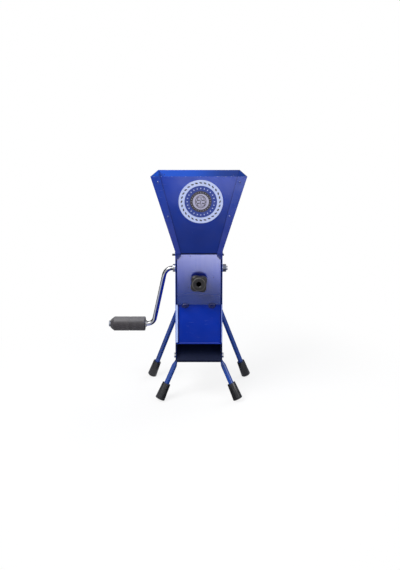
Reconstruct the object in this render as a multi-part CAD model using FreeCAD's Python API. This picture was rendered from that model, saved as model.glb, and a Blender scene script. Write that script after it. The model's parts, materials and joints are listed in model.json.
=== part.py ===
"""A hand-cranked nut cracker: sheet hopper over a box body, fluted drum, swinging jaw and four legs.

Millimetres, +Z up, front towards -Y. The origin is on the bench, midway between the four feet.
"""
import FreeCAD, Part

import math
import os

# Sheet metal
SHEET = 1.5
BEND = 1.0

# Body: two channel-shaped side walls, back wall, lower front panel, front cover
BODY_WIDTH = 111.0
WALL_FRONT_Y = -58.0
WALL_BACK_Y = 58.5
BODY_BOTTOM_Z = 90.5
BODY_TOP_Z = 352.0
WALL_FLANGE = 7.5
OUTLET_TOP_Z = 136.5
PANEL_LIP = 2.5
PANEL_OVERLAP = 30.0
COVER_BOTTOM_Z = 230.0
COVER_TOP_GAP = 3.0
COVER_RETURN = 4.0
COVER_EDGE_RADIUS = 3.0
COVER_SIDE_INSET = 1.0
WELD_SPACING = 63.0
WELD_WIDTH = 15.0
WELD_HEIGHT = 3.6
WELD_FLATNESS = 0.85
WELD_ROOT = 9.0

# Chute floor and feed guide
CHUTE_ANGLE = 36.0
CHUTE_LIP = 5.0
CHUTE_BACK_FLANGE = 10.0
GUIDE_DROP = 19.0
GUIDE_FLANGE = 14.0
GUIDE_WIDTH = 102.0
GUIDE_CLEARANCE = 1.6

# Hopper
RIM_WIDTH = 220.0
RIM_DEPTH = 230.0
RIM_Z = 533.0
FRONT_FLARE = 20.0
STRIP_TOP = 22.0
STRIP_BOTTOM = 12.0
TAB_HEIGHT = 14.0
TAB_TIP = 5.0
SKIRT_HEIGHT = 20.0
SKIRT_FRONT_Y = -22.0
SKIRT_BACK_Y = 44.0
RIVET_RADIUS = 2.6
RIVET_DOME = 1.5
RIVET_HEIGHTS = (520.0, 440.0)
RIVET_SHARE = 0.38
SKIRT_BOLT_YS = (-10.0, 20.0)
SKIRT_BOLT_Z = BODY_TOP_Z - 10.0

# Crank bar and what is on it
BAR_RADIUS = 5.5
SHAFT_Y = 17.0
SHAFT_Z = 297.6
CRANK_THROW = 141.0
CRANK_LEAN = 12.4
CRANK_CORNER_X = -82.5
CRANK_TOP_BEND = 22.0
CRANK_LOW_BEND = 18.0
GRIP_INNER_X = -134.0
GRIP_LENGTH = 86.0
GRIP_RADIUS = 17.0
GRIP_TIP_RADIUS = 10.0
GRIP_CHAMFER = 9.0
GRIP_GROOVE = 0.8
GRIP_EASE = 1.0
GRIP_THREAD_RADIUS = 4.0
GRIP_NUT_HEIGHT = 4.0
GRIP_NUT_FLATS = 13.0
GRIP_COLLAR_RADIUS = 8.0
GRIP_COLLAR_LENGTH = 3.2
SHAFT_THREAD_RADIUS = 5.0
SHAFT_THREAD_SPARE = 3.5
SHAFT_END_GAP = 0.3
SHAFT_NUT_FLATS = 17.0
SHAFT_NUT_HEIGHT = 8.0
SHAFT_WASHER_RADIUS = 10.0
SHAFT_WASHER = 2.0
COLLAR_RADIUS = 9.5
COLLAR_LENGTH = 7.0
COLLAR_SCREW_RADIUS = 2.5

# Bushes
BUSH_RADIUS = 9.0
BUSH_FLANGE_RADIUS = 12.5
BUSH_FLANGE = 2.5
BUSH_PROUD = 1.5

# Cracking drum
DRUM_RADIUS = 31.0
DRUM_LENGTH = 100.0
DRUM_FLUTES = 14
FLUTE_DEPTH = 3.2
FLUTE_SHARE = 0.62
DRUM_POCKET = 32.0
DRUM_HUB_RADIUS = 13.0
DRUM_RIM = 8.0
PIN_RADIUS = 2.5
PIN_INSET = 9.0
PIN_SETBACK = 0.5

# Jaw
HINGE_Y = -43.0
HINGE_Z = BODY_TOP_Z - 7.5
HINGE_ROD_RADIUS = 2.5
HINGE_ROD_LEFT_X = -63.0
HINGE_ROD_RIGHT_X = 59.0
HINGE_TUBE_RADIUS = 6.0
JAW_WIDTH = 100.0
JAW_LENGTH = 84.0
JAW_THICKNESS = 6.0
JAW_TILT = 12.3
JAW_RIDGES = 12
RIDGE_HEIGHT = 3.0
RIDGE_LEAN = 0.6
RIDGE_MARGIN = 9.0

# Adjusting screw, pad, nut and knob
SCREW_Z = 285.0
SCREW_RADIUS = 5.0
SCREW_NOSE_RADIUS = 3.0
SCREW_NUT_FLATS = 17.0
SCREW_NUT_HEIGHT = 8.0
PAD_RADIUS = 8.0
PAD_DOME_RADIUS = 14.0
PAD_RIM = 4.0
PAD_SOCKET = 3.0
PAD_JAW_GAP = 0.25
KNOB_COVER_GAP = 3.0
KNOB_LOBES = 4
KNOB_LOBE_RADIUS = 9.4
KNOB_LOBE_PITCH = 12.5
KNOB_NOTCH_RADIUS = 17.4
KNOB_TURN = -5.0
KNOB_HUB_RADIUS = 9.0
KNOB_HUB_LENGTH = 5.0
KNOB_THICKNESS = 15.0
KNOB_SOCKET = 14.0
KNOB_EDGE = 2.5
KNOB_FACE_RADIUS = 14.5
KNOB_FACE_HEIGHT = 2.0
KNOB_RECESS_RADIUS = 4.2
KNOB_RECESS_DEPTH = 3.0

# Legs and feet
LEG_RADIUS = 6.0
LEG_WALL = 1.5
LEG_FLAT = 3.0
LEG_FLAT_WIDTH = 16.0
LEG_NECK = 15.0
FRONT_LEG_TOP_Y = -36.0
FRONT_LEG_BOLT_Z = 98.0
FRONT_LEG_KNEE_Z = 88.0
FRONT_FOOT_X = 92.5
FRONT_FOOT_Y = -65.0
REAR_LEG_TOP_X = 30.0
REAR_LEG_TOP_Z = 238.0
REAR_LEG_FLAT_LENGTH = 22.0
REAR_FOOT_X = 122.5
FOOT_LENGTH = 38.0
FOOT_TOP_RADIUS = 9.7
FOOT_BOTTOM_RADIUS = 11.5
FOOT_EDGE = 1.2
FOOT_SOCKET = 31.0
FOOT_PRESS = 1.6

# Fasteners
M5 = 2.5
M6 = 3.0
M5_HEAD_RADIUS = 4.6
M5_HEAD = 2.8
M5_NUT_FLATS = 8.0
M5_NUT = 4.0
M6_FLATS = 10.0
M6_HEAD = 4.0
M6_NUT = 5.0
BOLT_SPARE = 1.0

# Clearances
RUN_FIT = 0.05
HOLE_FIT = 0.2
SEAT_GAP = 0.1
AXIAL_GAP = 0.5

HALF_OUT = BODY_WIDTH / 2
HALF_IN = HALF_OUT - SHEET
INNER_HALF = HALF_IN - BEND - SEAT_GAP
FLANGE_FOOT_Z = OUTLET_TOP_Z + BEND + SEAT_GAP
COVER_FACE_Y = WALL_FRONT_Y - COVER_RETURN
COVER_TOP_Z = BODY_TOP_Z - COVER_TOP_GAP
COVER_HALF = HALF_OUT - COVER_SIDE_INSET
BACK_FACE_Y = WALL_BACK_Y + SHEET
HOPPER_HALF = HALF_IN - SEAT_GAP
HOPPER_FRONT_Y = COVER_FACE_Y - SHEET
HOPPER_BACK_Y = BACK_FACE_Y + SHEET
X_AXIS = FreeCAD.Vector(1, 0, 0)
Y_AXIS = FreeCAD.Vector(0, 1, 0)
Z_AXIS = FreeCAD.Vector(0, 0, 1)


def vec(x, y, z):
    """A point or direction."""
    return FreeCAD.Vector(x, y, z)


def block(x0, x1, y0, y1, z0, z1):
    """A box between two corners."""
    return Part.makeBox(x1 - x0, y1 - y0, z1 - z0, vec(x0, y0, z0))


def rod_x(x0, x1, radius, y, z):
    """A round bar along X."""
    return Part.makeCylinder(radius, x1 - x0, vec(x0, y, z), X_AXIS)


def rod_y(y0, y1, radius, x, z):
    """A round bar along Y."""
    return Part.makeCylinder(radius, y1 - y0, vec(x, y0, z), Y_AXIS)


def on_yz(u, v):
    """A sketch point (u, v) in the plane X = 0."""
    return vec(0, u, v)


def on_xz(u, v):
    """A sketch point (u, v) in the plane Y = 0."""
    return vec(u, 0, v)


def on_xy(u, v):
    """A sketch point (u, v) in the plane Z = 0."""
    return vec(u, v, 0)


def polygon(points, place):
    """A flat face with straight sides."""
    corners = [place(u, v) for u, v in points]
    return Part.Face(Part.makePolygon(corners + corners[:1]))


def mirrored(shape):
    """The same solid on the other side of X = 0."""
    return shape.mirror(vec(0, 0, 0), X_AXIS)


def turned(profile, base, direction):
    """A solid of revolution from (radius, height) points, standing on base along a direction."""
    solid = polygon(profile, on_xz).revolve(vec(0, 0, 0), Z_AXIS, 360)
    solid.Placement = FreeCAD.Placement(base, FreeCAD.Rotation(Z_AXIS, direction))
    return solid


def hexagon_bar(flats, height, base, direction):
    """A hexagonal prism from its base centre along a direction."""
    radius = flats / math.sqrt(3)
    turns = [math.radians(60 * k + 30) for k in range(6)]
    face = polygon([(radius * math.cos(a), radius * math.sin(a)) for a in turns], on_xy)
    prism = face.extrude(vec(0, 0, height))
    prism.Placement = FreeCAD.Placement(base, FreeCAD.Rotation(Z_AXIS, direction))
    return prism


def hex_nut(flats, height, bore, base, direction):
    """A hexagonal nut with a plain bore."""
    return hexagon_bar(flats, height, base, direction).cut(Part.makeCylinder(bore, height, base, direction))


def round_head(head_radius, head, shank_radius, shank, seat, direction):
    """A low tapered head on a seat, with its shank along the other direction."""
    profile = [(0, head), (head_radius / 2, head), (head_radius, head / 4), (head_radius, 0),
               (shank_radius, 0), (shank_radius, -shank), (0, -shank)]
    return turned(profile, seat, direction)


def offset_path(points, distance):
    """An open path moved to its left by a distance, corners kept sharp."""
    lines = []
    for (x0, y0), (x1, y1) in zip(points, points[1:]):
        length = math.hypot(x1 - x0, y1 - y0)
        nx, ny = -(y1 - y0) / length, (x1 - x0) / length
        lines.append(((x0 + nx * distance, y0 + ny * distance), (x1 + nx * distance, y1 + ny * distance)))
    moved = [lines[0][0]]
    for ((ax, ay), (bx, by)), ((cx, cy), (dx, dy)) in zip(lines, lines[1:]):
        cross = (bx - ax) * (dy - cy) - (by - ay) * (dx - cx)
        share = ((cx - ax) * (dy - cy) - (cy - ay) * (dx - cx)) / cross
        moved.append((ax + (bx - ax) * share, ay + (by - ay) * share))
    return moved + [lines[-1][1]]


def turn_at(before, corner, after):
    """The turn of a path at a corner in radians, positive to the left."""
    first = math.atan2(corner[1] - before[1], corner[0] - before[0])
    second = math.atan2(after[1] - corner[1], after[0] - corner[0])
    return (second - first + math.pi) % (2 * math.pi) - math.pi


def rounded_path(points, left_radius, right_radius, place):
    """Edges of an open path whose left turns and right turns are arcs of the two radii."""
    edges = []
    start = points[0]
    for before, corner, after in zip(points, points[1:], points[2:]):
        turn = turn_at(before, corner, after)
        radius = left_radius if turn > 0 else right_radius
        cut = radius * math.tan(abs(turn) / 2)
        back = math.dist(before, corner)
        ahead = math.dist(corner, after)
        enter = [c + (b - c) * cut / back for b, c in zip(before, corner)]
        leave = [c + (a - c) * cut / ahead for a, c in zip(after, corner)]
        mid = [(e + o) / 2 for e, o in zip(enter, leave)]
        reach = radius / math.cos(turn / 2) - radius
        gap = math.dist(mid, corner)
        top = [c + (m - c) * reach / gap for m, c in zip(mid, corner)]
        edges.append(Part.LineSegment(place(*start), place(*enter)).toShape())
        edges.append(Part.Arc(place(*enter), place(*top), place(*leave)).toShape())
        start = leave
    edges.append(Part.LineSegment(place(*start), place(*points[-1])).toShape())
    return edges


def bent_sheet(points, place):
    """The face of a bent sheet: an open path with the metal on its left."""
    inner = offset_path(points, SHEET)
    edges = rounded_path(points, BEND + SHEET, BEND, place)
    edges += [Part.LineSegment(place(*points[-1]), place(*inner[-1])).toShape()]
    edges += rounded_path(inner[::-1], BEND + SHEET, BEND, place)
    edges += [Part.LineSegment(place(*inner[0]), place(*points[0])).toShape()]
    return Part.Face(Part.Wire(edges))


# Body ---------------------------------------------------------------------------------------------


def side_wall():
    """The right side wall: a channel with its flanges turned in, pierced for shaft, hinge and bolts."""
    tip = HALF_OUT - WALL_FLANGE
    path = [(tip, WALL_FRONT_Y), (HALF_OUT, WALL_FRONT_Y), (HALF_OUT, WALL_BACK_Y), (tip, WALL_BACK_Y)]
    wall = bent_sheet(path, on_xy).extrude(vec(0, 0, BODY_TOP_Z - BODY_BOTTOM_Z))
    wall.translate(vec(0, 0, BODY_BOTTOM_Z))
    beyond = HALF_OUT + SHEET
    wall = wall.cut(block(tip - SHEET, HALF_IN, WALL_FRONT_Y - SHEET, WALL_FRONT_Y + SHEET + BEND, 0,
                          FLANGE_FOOT_Z))
    wall = wall.cut(rod_x(tip, beyond, BUSH_RADIUS + RUN_FIT, SHAFT_Y, SHAFT_Z))
    wall = wall.cut(rod_x(tip, beyond, HINGE_ROD_RADIUS + RUN_FIT, HINGE_Y, HINGE_Z))
    wall = wall.cut(rod_x(tip, beyond, M6 + HOLE_FIT, FRONT_LEG_TOP_Y, FRONT_LEG_BOLT_Z))
    for y in SKIRT_BOLT_YS:
        wall = wall.cut(rod_x(tip, beyond, M5 + HOLE_FIT, y, SKIRT_BOLT_Z))
    return wall


def back_wall():
    """The flat plate across the back flanges, with the rear legs' bolt holes."""
    half = HALF_OUT - BEND
    plate = block(-half, half, WALL_BACK_Y, BACK_FACE_Y, BODY_BOTTOM_Z, BODY_TOP_Z)
    for x in (-REAR_LEG_TOP_X, REAR_LEG_TOP_X):
        plate = plate.cut(rod_y(WALL_BACK_Y, BACK_FACE_Y, M6 + HOLE_FIT, x, REAR_LEG_TOP_Z))
    return plate


def lower_front_panel():
    """The plate behind the front flanges, its foot bent forward into a lip over the outlet."""
    back = WALL_FRONT_Y + SHEET
    path = [(WALL_FRONT_Y - PANEL_LIP, OUTLET_TOP_Z - SHEET), (back + SHEET, OUTLET_TOP_Z - SHEET),
            (back + SHEET, COVER_BOTTOM_Z + PANEL_OVERLAP)]
    panel = bent_sheet(path, on_yz).extrude(vec(2 * INNER_HALF, 0, 0))
    panel.translate(vec(-INNER_HALF, 0, 0))
    return panel


def front_cover():
    """The plate over the upper front, its side edges rounded back onto the wall flanges."""
    outline = [(-COVER_HALF, WALL_FRONT_Y), (-COVER_HALF, COVER_FACE_Y), (COVER_HALF, COVER_FACE_Y),
               (COVER_HALF, WALL_FRONT_Y)]
    inner = offset_path(outline, SHEET)
    outer_radius = COVER_EDGE_RADIUS
    inner_radius = outer_radius - SHEET
    edges = rounded_path(outline, outer_radius, outer_radius, on_xy)
    edges += [Part.LineSegment(on_xy(*outline[-1]), on_xy(*inner[-1])).toShape()]
    edges += rounded_path(inner[::-1], inner_radius, inner_radius, on_xy)
    edges += [Part.LineSegment(on_xy(*inner[0]), on_xy(*outline[0])).toShape()]
    cover = Part.Face(Part.Wire(edges)).extrude(vec(0, 0, COVER_TOP_Z - COVER_BOTTOM_Z))
    cover.translate(vec(0, 0, COVER_BOTTOM_Z))
    return cover.cut(rod_y(COVER_FACE_Y, COVER_FACE_Y + SHEET, SCREW_RADIUS + HOLE_FIT, 0, SCREW_Z))


def cover_welds():
    """Two weld beads that tie the cover's lower edge to the panel behind it."""
    root_y = WALL_FRONT_Y + SHEET
    half = WELD_WIDTH / 2
    taper = half - WELD_HEIGHT
    throat = WELD_HEIGHT * WELD_FLATNESS
    profile = [(0, 0), (throat, taper / 2), (WELD_HEIGHT, taper), (WELD_HEIGHT, WELD_WIDTH - taper),
               (throat, WELD_WIDTH - taper / 2), (0, WELD_WIDTH)]
    beads = []
    for side in (-1, 1):
        x = side * WELD_SPACING / 2
        bead = turned(profile, vec(x - half, COVER_FACE_Y, COVER_BOTTOM_Z), X_AXIS)
        above = block(x - half, x + half, COVER_FACE_Y, root_y, COVER_BOTTOM_Z, COVER_BOTTOM_Z + half)
        root = block(x - WELD_ROOT / 2, x + WELD_ROOT / 2, COVER_FACE_Y, root_y,
                     COVER_BOTTOM_Z - WELD_HEIGHT * WELD_FLATNESS, COVER_BOTTOM_Z)
        beads.append(bead.cut(above).fuse(root).removeSplitter())
    return Part.makeCompound([b.Solids[0] for b in beads])


def chute_under(y):
    """The height of the chute floor's underside at a depth."""
    return BODY_BOTTOM_Z + CHUTE_LIP + (y - WALL_FRONT_Y) * math.tan(math.radians(CHUTE_ANGLE))


def chute_floor():
    """The sloping floor: a turned-down lip in front and a flange up the back wall."""
    back_y = WALL_BACK_Y - SHEET
    path = [(WALL_FRONT_Y, BODY_BOTTOM_Z), (WALL_FRONT_Y, chute_under(WALL_FRONT_Y)),
            (back_y, chute_under(back_y)), (back_y, chute_under(back_y) + CHUTE_BACK_FLANGE)]
    floor = bent_sheet(path, on_yz).extrude(vec(2 * INNER_HALF, 0, 0))
    floor.translate(vec(-INNER_HALF, 0, 0))
    return floor


def feed_guide():
    """The deflector that keeps nuts off the back of the drum."""
    back_y = WALL_BACK_Y - SHEET
    tip_z = SHAFT_Z + DRUM_RADIUS + GUIDE_CLEARANCE + SHEET
    tip_y = SHAFT_Y - 2 * SHEET
    knee_z = tip_z + GUIDE_DROP
    path = [(back_y, knee_z - GUIDE_FLANGE), (back_y, knee_z), (tip_y, tip_z)]
    guide = bent_sheet(path, on_yz).extrude(vec(GUIDE_WIDTH, 0, 0))
    guide.translate(vec(-GUIDE_WIDTH / 2, 0, 0))
    return guide


# Hopper -------------------------------------------------------------------------------------------


def frustum(inset_x, inset_y):
    """The hopper's tapered block, with its sides and its front and back moved in."""
    top_front = HOPPER_FRONT_Y - FRONT_FLARE
    levels = [(HOPPER_HALF, HOPPER_FRONT_Y, HOPPER_BACK_Y, BODY_TOP_Z),
              (RIM_WIDTH / 2, top_front, top_front + RIM_DEPTH, RIM_Z)]
    rings = []
    for half, front, back, z in levels:
        x = half - inset_x
        y0, y1 = front + inset_y, back - inset_y
        rings.append([vec(-x, y0, z), vec(x, y0, z), vec(x, y1, z), vec(-x, y1, z)])
    low, high = rings
    outlines = [low, high]
    for k in range(4):
        after = (k + 1) % 4
        outlines.append([low[k], low[after], high[after], high[k]])
    faces = [Part.Face(Part.makePolygon(points + points[:1])) for points in outlines]
    solid = Part.Solid(Part.Shell(faces))
    if solid.Volume < 0:
        solid.reverse()
    return solid


def rise(z):
    """The share of the hopper's height reached at z."""
    return (z - BODY_TOP_Z) / (RIM_Z - BODY_TOP_Z)


def strip_inner_x(z):
    """The inner edge of a lapped strip at a height."""
    bottom = HOPPER_HALF - STRIP_BOTTOM
    top = RIM_WIDTH / 2 - STRIP_TOP
    return bottom + (top - bottom) * rise(z)


def rivet_places():
    """Where each rivet stands on the strips' outer faces, with the outward normal."""
    height = RIM_Z - BODY_TOP_Z
    back_flare = RIM_DEPTH - FRONT_FLARE - (HOPPER_BACK_Y - HOPPER_FRONT_Y)
    places = []
    for face_y, flare, side_y in ((HOPPER_FRONT_Y, FRONT_FLARE, -1), (HOPPER_BACK_Y, back_flare, 1)):
        lean = math.atan2(flare, height)
        normal = vec(0, side_y * math.cos(lean), -math.sin(lean))
        for z in RIVET_HEIGHTS:
            outer = HOPPER_HALF + (RIM_WIDTH / 2 - HOPPER_HALF) * rise(z)
            x = strip_inner_x(z) + (outer - strip_inner_x(z)) * RIVET_SHARE
            for side in (-1, 1):
                places.append((vec(side * x, face_y + side_y * flare * rise(z), z), normal))
    return places


def rivet_holes(shape):
    """The shape pierced for every rivet."""
    for point, normal in rivet_places():
        start = point - normal * (3 * SHEET)
        shape = shape.cut(Part.makeCylinder(RIVET_RADIUS / 2 + RUN_FIT, 4 * SHEET, start, normal))
    return shape


def hopper_rivets():
    """Domed rivets through the lapped strips, as separate solids."""
    rivets = []
    for point, normal in rivet_places():
        rivets.append(round_head(RIVET_RADIUS, RIVET_DOME, RIVET_RADIUS / 2, 2 * SHEET, point, normal))
    return Part.makeCompound(rivets)


def hopper_side():
    """The right side panel: strips lapped over front and back, corner tabs and a skirt in the body."""
    shell = frustum(0, 0).cut(frustum(SHEET, SHEET))
    beyond = RIM_WIDTH
    wedge = polygon([(strip_inner_x(BODY_TOP_Z), BODY_TOP_Z), (strip_inner_x(RIM_Z), RIM_Z),
                     (beyond, RIM_Z), (beyond, BODY_TOP_Z)], on_xz).extrude(vec(0, 4 * RIM_DEPTH, 0))
    wedge.translate(vec(0, -2 * RIM_DEPTH, 0))
    panel = shell.common(wedge)
    half = HOPPER_HALF
    inner = half - STRIP_BOTTOM
    foot_z = BODY_TOP_Z - TAB_HEIGHT
    outline = [(half, BODY_TOP_Z), (inner, BODY_TOP_Z), (inner, BODY_TOP_Z - TAB_HEIGHT / 2),
               (half - TAB_TIP, foot_z), (half, foot_z)]
    for y in (HOPPER_FRONT_Y, HOPPER_BACK_Y - SHEET):
        tab = polygon(outline, on_xz).extrude(vec(0, SHEET, 0))
        tab.translate(vec(0, y, 0))
        panel = panel.fuse(tab)
    panel = panel.fuse(block(half - SHEET, half, SKIRT_FRONT_Y, SKIRT_BACK_Y,
                             BODY_TOP_Z - SKIRT_HEIGHT, BODY_TOP_Z))
    for y in SKIRT_BOLT_YS:
        panel = panel.cut(rod_x(0, BODY_WIDTH, M5 + HOLE_FIT, y, SKIRT_BOLT_Z))
    return rivet_holes(panel.removeSplitter())


def hopper_end_panel(front):
    """The front or back panel, which lies behind the strips between the side panels."""
    plates = frustum(SHEET + SEAT_GAP, SHEET).cut(frustum(0, 2 * SHEET))
    chosen = [s for s in plates.Solids if (s.CenterOfMass.y < 0) == front]
    return rivet_holes(chosen[0])


def skirt_bolts():
    """Round-head M5 bolts and nuts that hold the hopper's skirts to the side walls."""
    solids = []
    inner = HOPPER_HALF - SHEET
    length = HALF_OUT - inner + M5_NUT + BOLT_SPARE
    for y in SKIRT_BOLT_YS:
        head_seat = vec(HALF_OUT, y, SKIRT_BOLT_Z)
        nut_base = vec(inner - M5_NUT, y, SKIRT_BOLT_Z)
        solids.append(round_head(M5_HEAD_RADIUS, M5_HEAD, M5, length, head_seat, X_AXIS))
        solids.append(hex_nut(M5_NUT_FLATS, M5_NUT, M5 + RUN_FIT, nut_base, X_AXIS))
    return Part.makeCompound(solids + [mirrored(s) for s in solids])


# Crank and drum -----------------------------------------------------------------------------------


def crank_corners():
    """The corners of the crank bar's centre line in (x, z), from shaft shoulder to grip end."""
    low_x = CRANK_CORNER_X - CRANK_THROW * math.tan(math.radians(CRANK_LEAN))
    low_z = SHAFT_Z - CRANK_THROW
    return [(bush_end() + SHAFT_END_GAP, SHAFT_Z), (CRANK_CORNER_X, SHAFT_Z), (low_x, low_z),
            (GRIP_INNER_X - GRIP_LENGTH - SHAFT_END_GAP, low_z)]


def bush_end():
    """How far a bush stands out from the body's middle."""
    return HALF_OUT + BUSH_PROUD


def crank_bar():
    """One bent round bar: shaft through the body, leaning crank arm and grip spindle, threaded ends."""
    corners = crank_corners()
    path = Part.Wire(rounded_path(corners, CRANK_TOP_BEND, CRANK_LOW_BEND, on_xz))
    start = vec(corners[0][0], 0, corners[0][1])
    section = Part.Wire(Part.makeCircle(BAR_RADIUS, start, X_AXIS))
    bar = path.makePipeShell([section], True, False)
    bar.translate(vec(0, SHAFT_Y, 0))
    thread = SHAFT_WASHER + SHAFT_NUT_HEIGHT + SHAFT_THREAD_SPARE
    bar = bar.fuse(rod_x(corners[0][0], corners[0][0] + thread, SHAFT_THREAD_RADIUS, SHAFT_Y, SHAFT_Z))
    end_x, end_z = corners[-1]
    tip = end_x - GRIP_NUT_HEIGHT - SHAFT_END_GAP
    bar = bar.fuse(rod_x(tip, end_x, GRIP_THREAD_RADIUS, SHAFT_Y, end_z))
    return bar.cut(Part.makeCylinder(PIN_RADIUS + RUN_FIT, 4 * BAR_RADIUS, pin_base(), Z_AXIS))


def pin_base():
    """The lower end of the drum pin's hole."""
    return vec(DRUM_LENGTH / 2 - PIN_INSET, SHAFT_Y, SHAFT_Z - 2 * BAR_RADIUS)


def drum_pin():
    """The cross pin through the drum's hub and the shaft."""
    x = DRUM_LENGTH / 2 - PIN_INSET
    reach = DRUM_HUB_RADIUS - PIN_SETBACK
    return Part.makeCylinder(PIN_RADIUS, 2 * reach, vec(x, SHAFT_Y, SHAFT_Z - reach), Z_AXIS)


def cracking_drum():
    """The fluted drum: scooped flutes round the rim, a pocket in each end, a hub on the shaft."""
    pitch = 2 * math.pi / DRUM_FLUTES
    half_flute = pitch * FLUTE_SHARE / 2

    def at(radius, angle):
        return vec(0, radius * math.cos(angle), radius * math.sin(angle))

    edges = []
    for k in range(DRUM_FLUTES):
        middle = k * pitch
        start, end = middle - half_flute, middle + half_flute
        floor = at(DRUM_RADIUS - FLUTE_DEPTH, middle)
        edges.append(Part.Arc(at(DRUM_RADIUS, start), floor, at(DRUM_RADIUS, end)).toShape())
        land = (end + start + pitch) / 2
        edges.append(Part.Arc(at(DRUM_RADIUS, end), at(DRUM_RADIUS, land),
                              at(DRUM_RADIUS, start + pitch)).toShape())
    drum = Part.Face(Part.Wire(edges)).extrude(vec(DRUM_LENGTH, 0, 0))
    drum.translate(vec(-DRUM_LENGTH / 2, SHAFT_Y, SHAFT_Z))
    half = DRUM_LENGTH / 2
    rim_inner = DRUM_RADIUS - DRUM_RIM
    for x in (-half, half - DRUM_POCKET):
        pocket = rod_x(x, x + DRUM_POCKET, rim_inner, SHAFT_Y, SHAFT_Z)
        drum = drum.cut(pocket.cut(rod_x(x, x + DRUM_POCKET, DRUM_HUB_RADIUS, SHAFT_Y, SHAFT_Z)))
    drum = drum.cut(rod_x(-half, half, BAR_RADIUS + RUN_FIT, SHAFT_Y, SHAFT_Z))
    hole = Part.makeCylinder(PIN_RADIUS + RUN_FIT, 2 * DRUM_HUB_RADIUS,
                             vec(half - PIN_INSET, SHAFT_Y, SHAFT_Z - DRUM_HUB_RADIUS), Z_AXIS)
    return drum.cut(hole)


def shaft_bush():
    """The right flanged bush in the side wall."""
    inner = HALF_IN - BUSH_FLANGE
    bush = rod_x(inner, HALF_IN, BUSH_FLANGE_RADIUS, SHAFT_Y, SHAFT_Z)
    bush = bush.fuse(rod_x(HALF_IN, bush_end(), BUSH_RADIUS, SHAFT_Y, SHAFT_Z))
    return bush.cut(rod_x(inner, bush_end(), BAR_RADIUS + RUN_FIT, SHAFT_Y, SHAFT_Z)).removeSplitter()


def shaft_collar():
    """The collar that keeps the shaft from sliding, with its set screw hole."""
    right = -bush_end() - AXIAL_GAP
    collar = rod_x(right - COLLAR_LENGTH, right, COLLAR_RADIUS, SHAFT_Y, SHAFT_Z)
    collar = collar.cut(rod_x(right - COLLAR_LENGTH, right, BAR_RADIUS + RUN_FIT, SHAFT_Y, SHAFT_Z))
    hole = Part.makeCylinder(COLLAR_SCREW_RADIUS, COLLAR_RADIUS,
                             vec(right - COLLAR_LENGTH / 2, SHAFT_Y, SHAFT_Z), Z_AXIS)
    return collar.cut(hole)


def collar_screw():
    """The set screw in the collar, with a hexagonal socket."""
    x = -bush_end() - AXIAL_GAP - COLLAR_LENGTH / 2
    base = vec(x, SHAFT_Y, SHAFT_Z + BAR_RADIUS + RUN_FIT)
    length = COLLAR_RADIUS - BAR_RADIUS - 2 * RUN_FIT
    screw = Part.makeCylinder(COLLAR_SCREW_RADIUS - RUN_FIT, length, base, Z_AXIS)
    top = base + vec(0, 0, length)
    return screw.cut(hexagon_bar(COLLAR_SCREW_RADIUS, length, top - vec(0, 0, length / 2), Z_AXIS))


def shaft_washer():
    """The washer against the shaft's right shoulder."""
    x = bush_end() + SHAFT_END_GAP
    washer = rod_x(x, x + SHAFT_WASHER, SHAFT_WASHER_RADIUS, SHAFT_Y, SHAFT_Z)
    return washer.cut(rod_x(x, x + SHAFT_WASHER, SHAFT_THREAD_RADIUS + HOLE_FIT, SHAFT_Y, SHAFT_Z))


def shaft_nut():
    """The hexagonal nut on the shaft's right end."""
    base = vec(bush_end() + SHAFT_END_GAP + SHAFT_WASHER, SHAFT_Y, SHAFT_Z)
    return hex_nut(SHAFT_NUT_FLATS, SHAFT_NUT_HEIGHT, SHAFT_THREAD_RADIUS + RUN_FIT, base, X_AXIS)


def hand_grip():
    """The turning grip: a thick sleeve with a chamfered outer end, an eased inner end and a ring groove."""
    middle = GRIP_LENGTH / 2 - GRIP_CHAMFER / 2
    bore = BAR_RADIUS + RUN_FIT
    profile = [(bore, 0), (GRIP_RADIUS - GRIP_EASE, 0), (GRIP_RADIUS, GRIP_EASE),
               (GRIP_RADIUS, middle - GRIP_GROOVE), (GRIP_RADIUS - GRIP_GROOVE, middle),
               (GRIP_RADIUS, middle + GRIP_GROOVE), (GRIP_RADIUS, GRIP_LENGTH - GRIP_CHAMFER),
               (GRIP_TIP_RADIUS, GRIP_LENGTH), (bore, GRIP_LENGTH)]
    return turned(profile, vec(GRIP_INNER_X, SHAFT_Y, SHAFT_Z - CRANK_THROW), -X_AXIS)


def grip_collar():
    """The small stop collar at the grip's inner end."""
    z = SHAFT_Z - CRANK_THROW
    x = GRIP_INNER_X + SHAFT_END_GAP
    collar = rod_x(x, x + GRIP_COLLAR_LENGTH, GRIP_COLLAR_RADIUS, SHAFT_Y, z)
    return collar.cut(rod_x(x, x + GRIP_COLLAR_LENGTH, BAR_RADIUS + RUN_FIT, SHAFT_Y, z))


def grip_nut():
    """The nut that keeps the grip on its spindle."""
    base = vec(crank_corners()[-1][0], SHAFT_Y, SHAFT_Z - CRANK_THROW)
    return hex_nut(GRIP_NUT_FLATS, GRIP_NUT_HEIGHT, GRIP_THREAD_RADIUS + RUN_FIT, base, -X_AXIS)


# Jaw ----------------------------------------------------------------------------------------------


def hinge_rod():
    """The rod across the body that the jaw hangs from."""
    return rod_x(HINGE_ROD_LEFT_X, HINGE_ROD_RIGHT_X, HINGE_ROD_RADIUS, HINGE_Y, HINGE_Z)


def jaw_tube():
    """The jaw's hinge tube on the rod."""
    half = JAW_WIDTH / 2
    tube = rod_x(-half, half, HINGE_TUBE_RADIUS, HINGE_Y, HINGE_Z)
    return tube.cut(rod_x(-half, half, HINGE_ROD_RADIUS + RUN_FIT, HINGE_Y, HINGE_Z))


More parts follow.
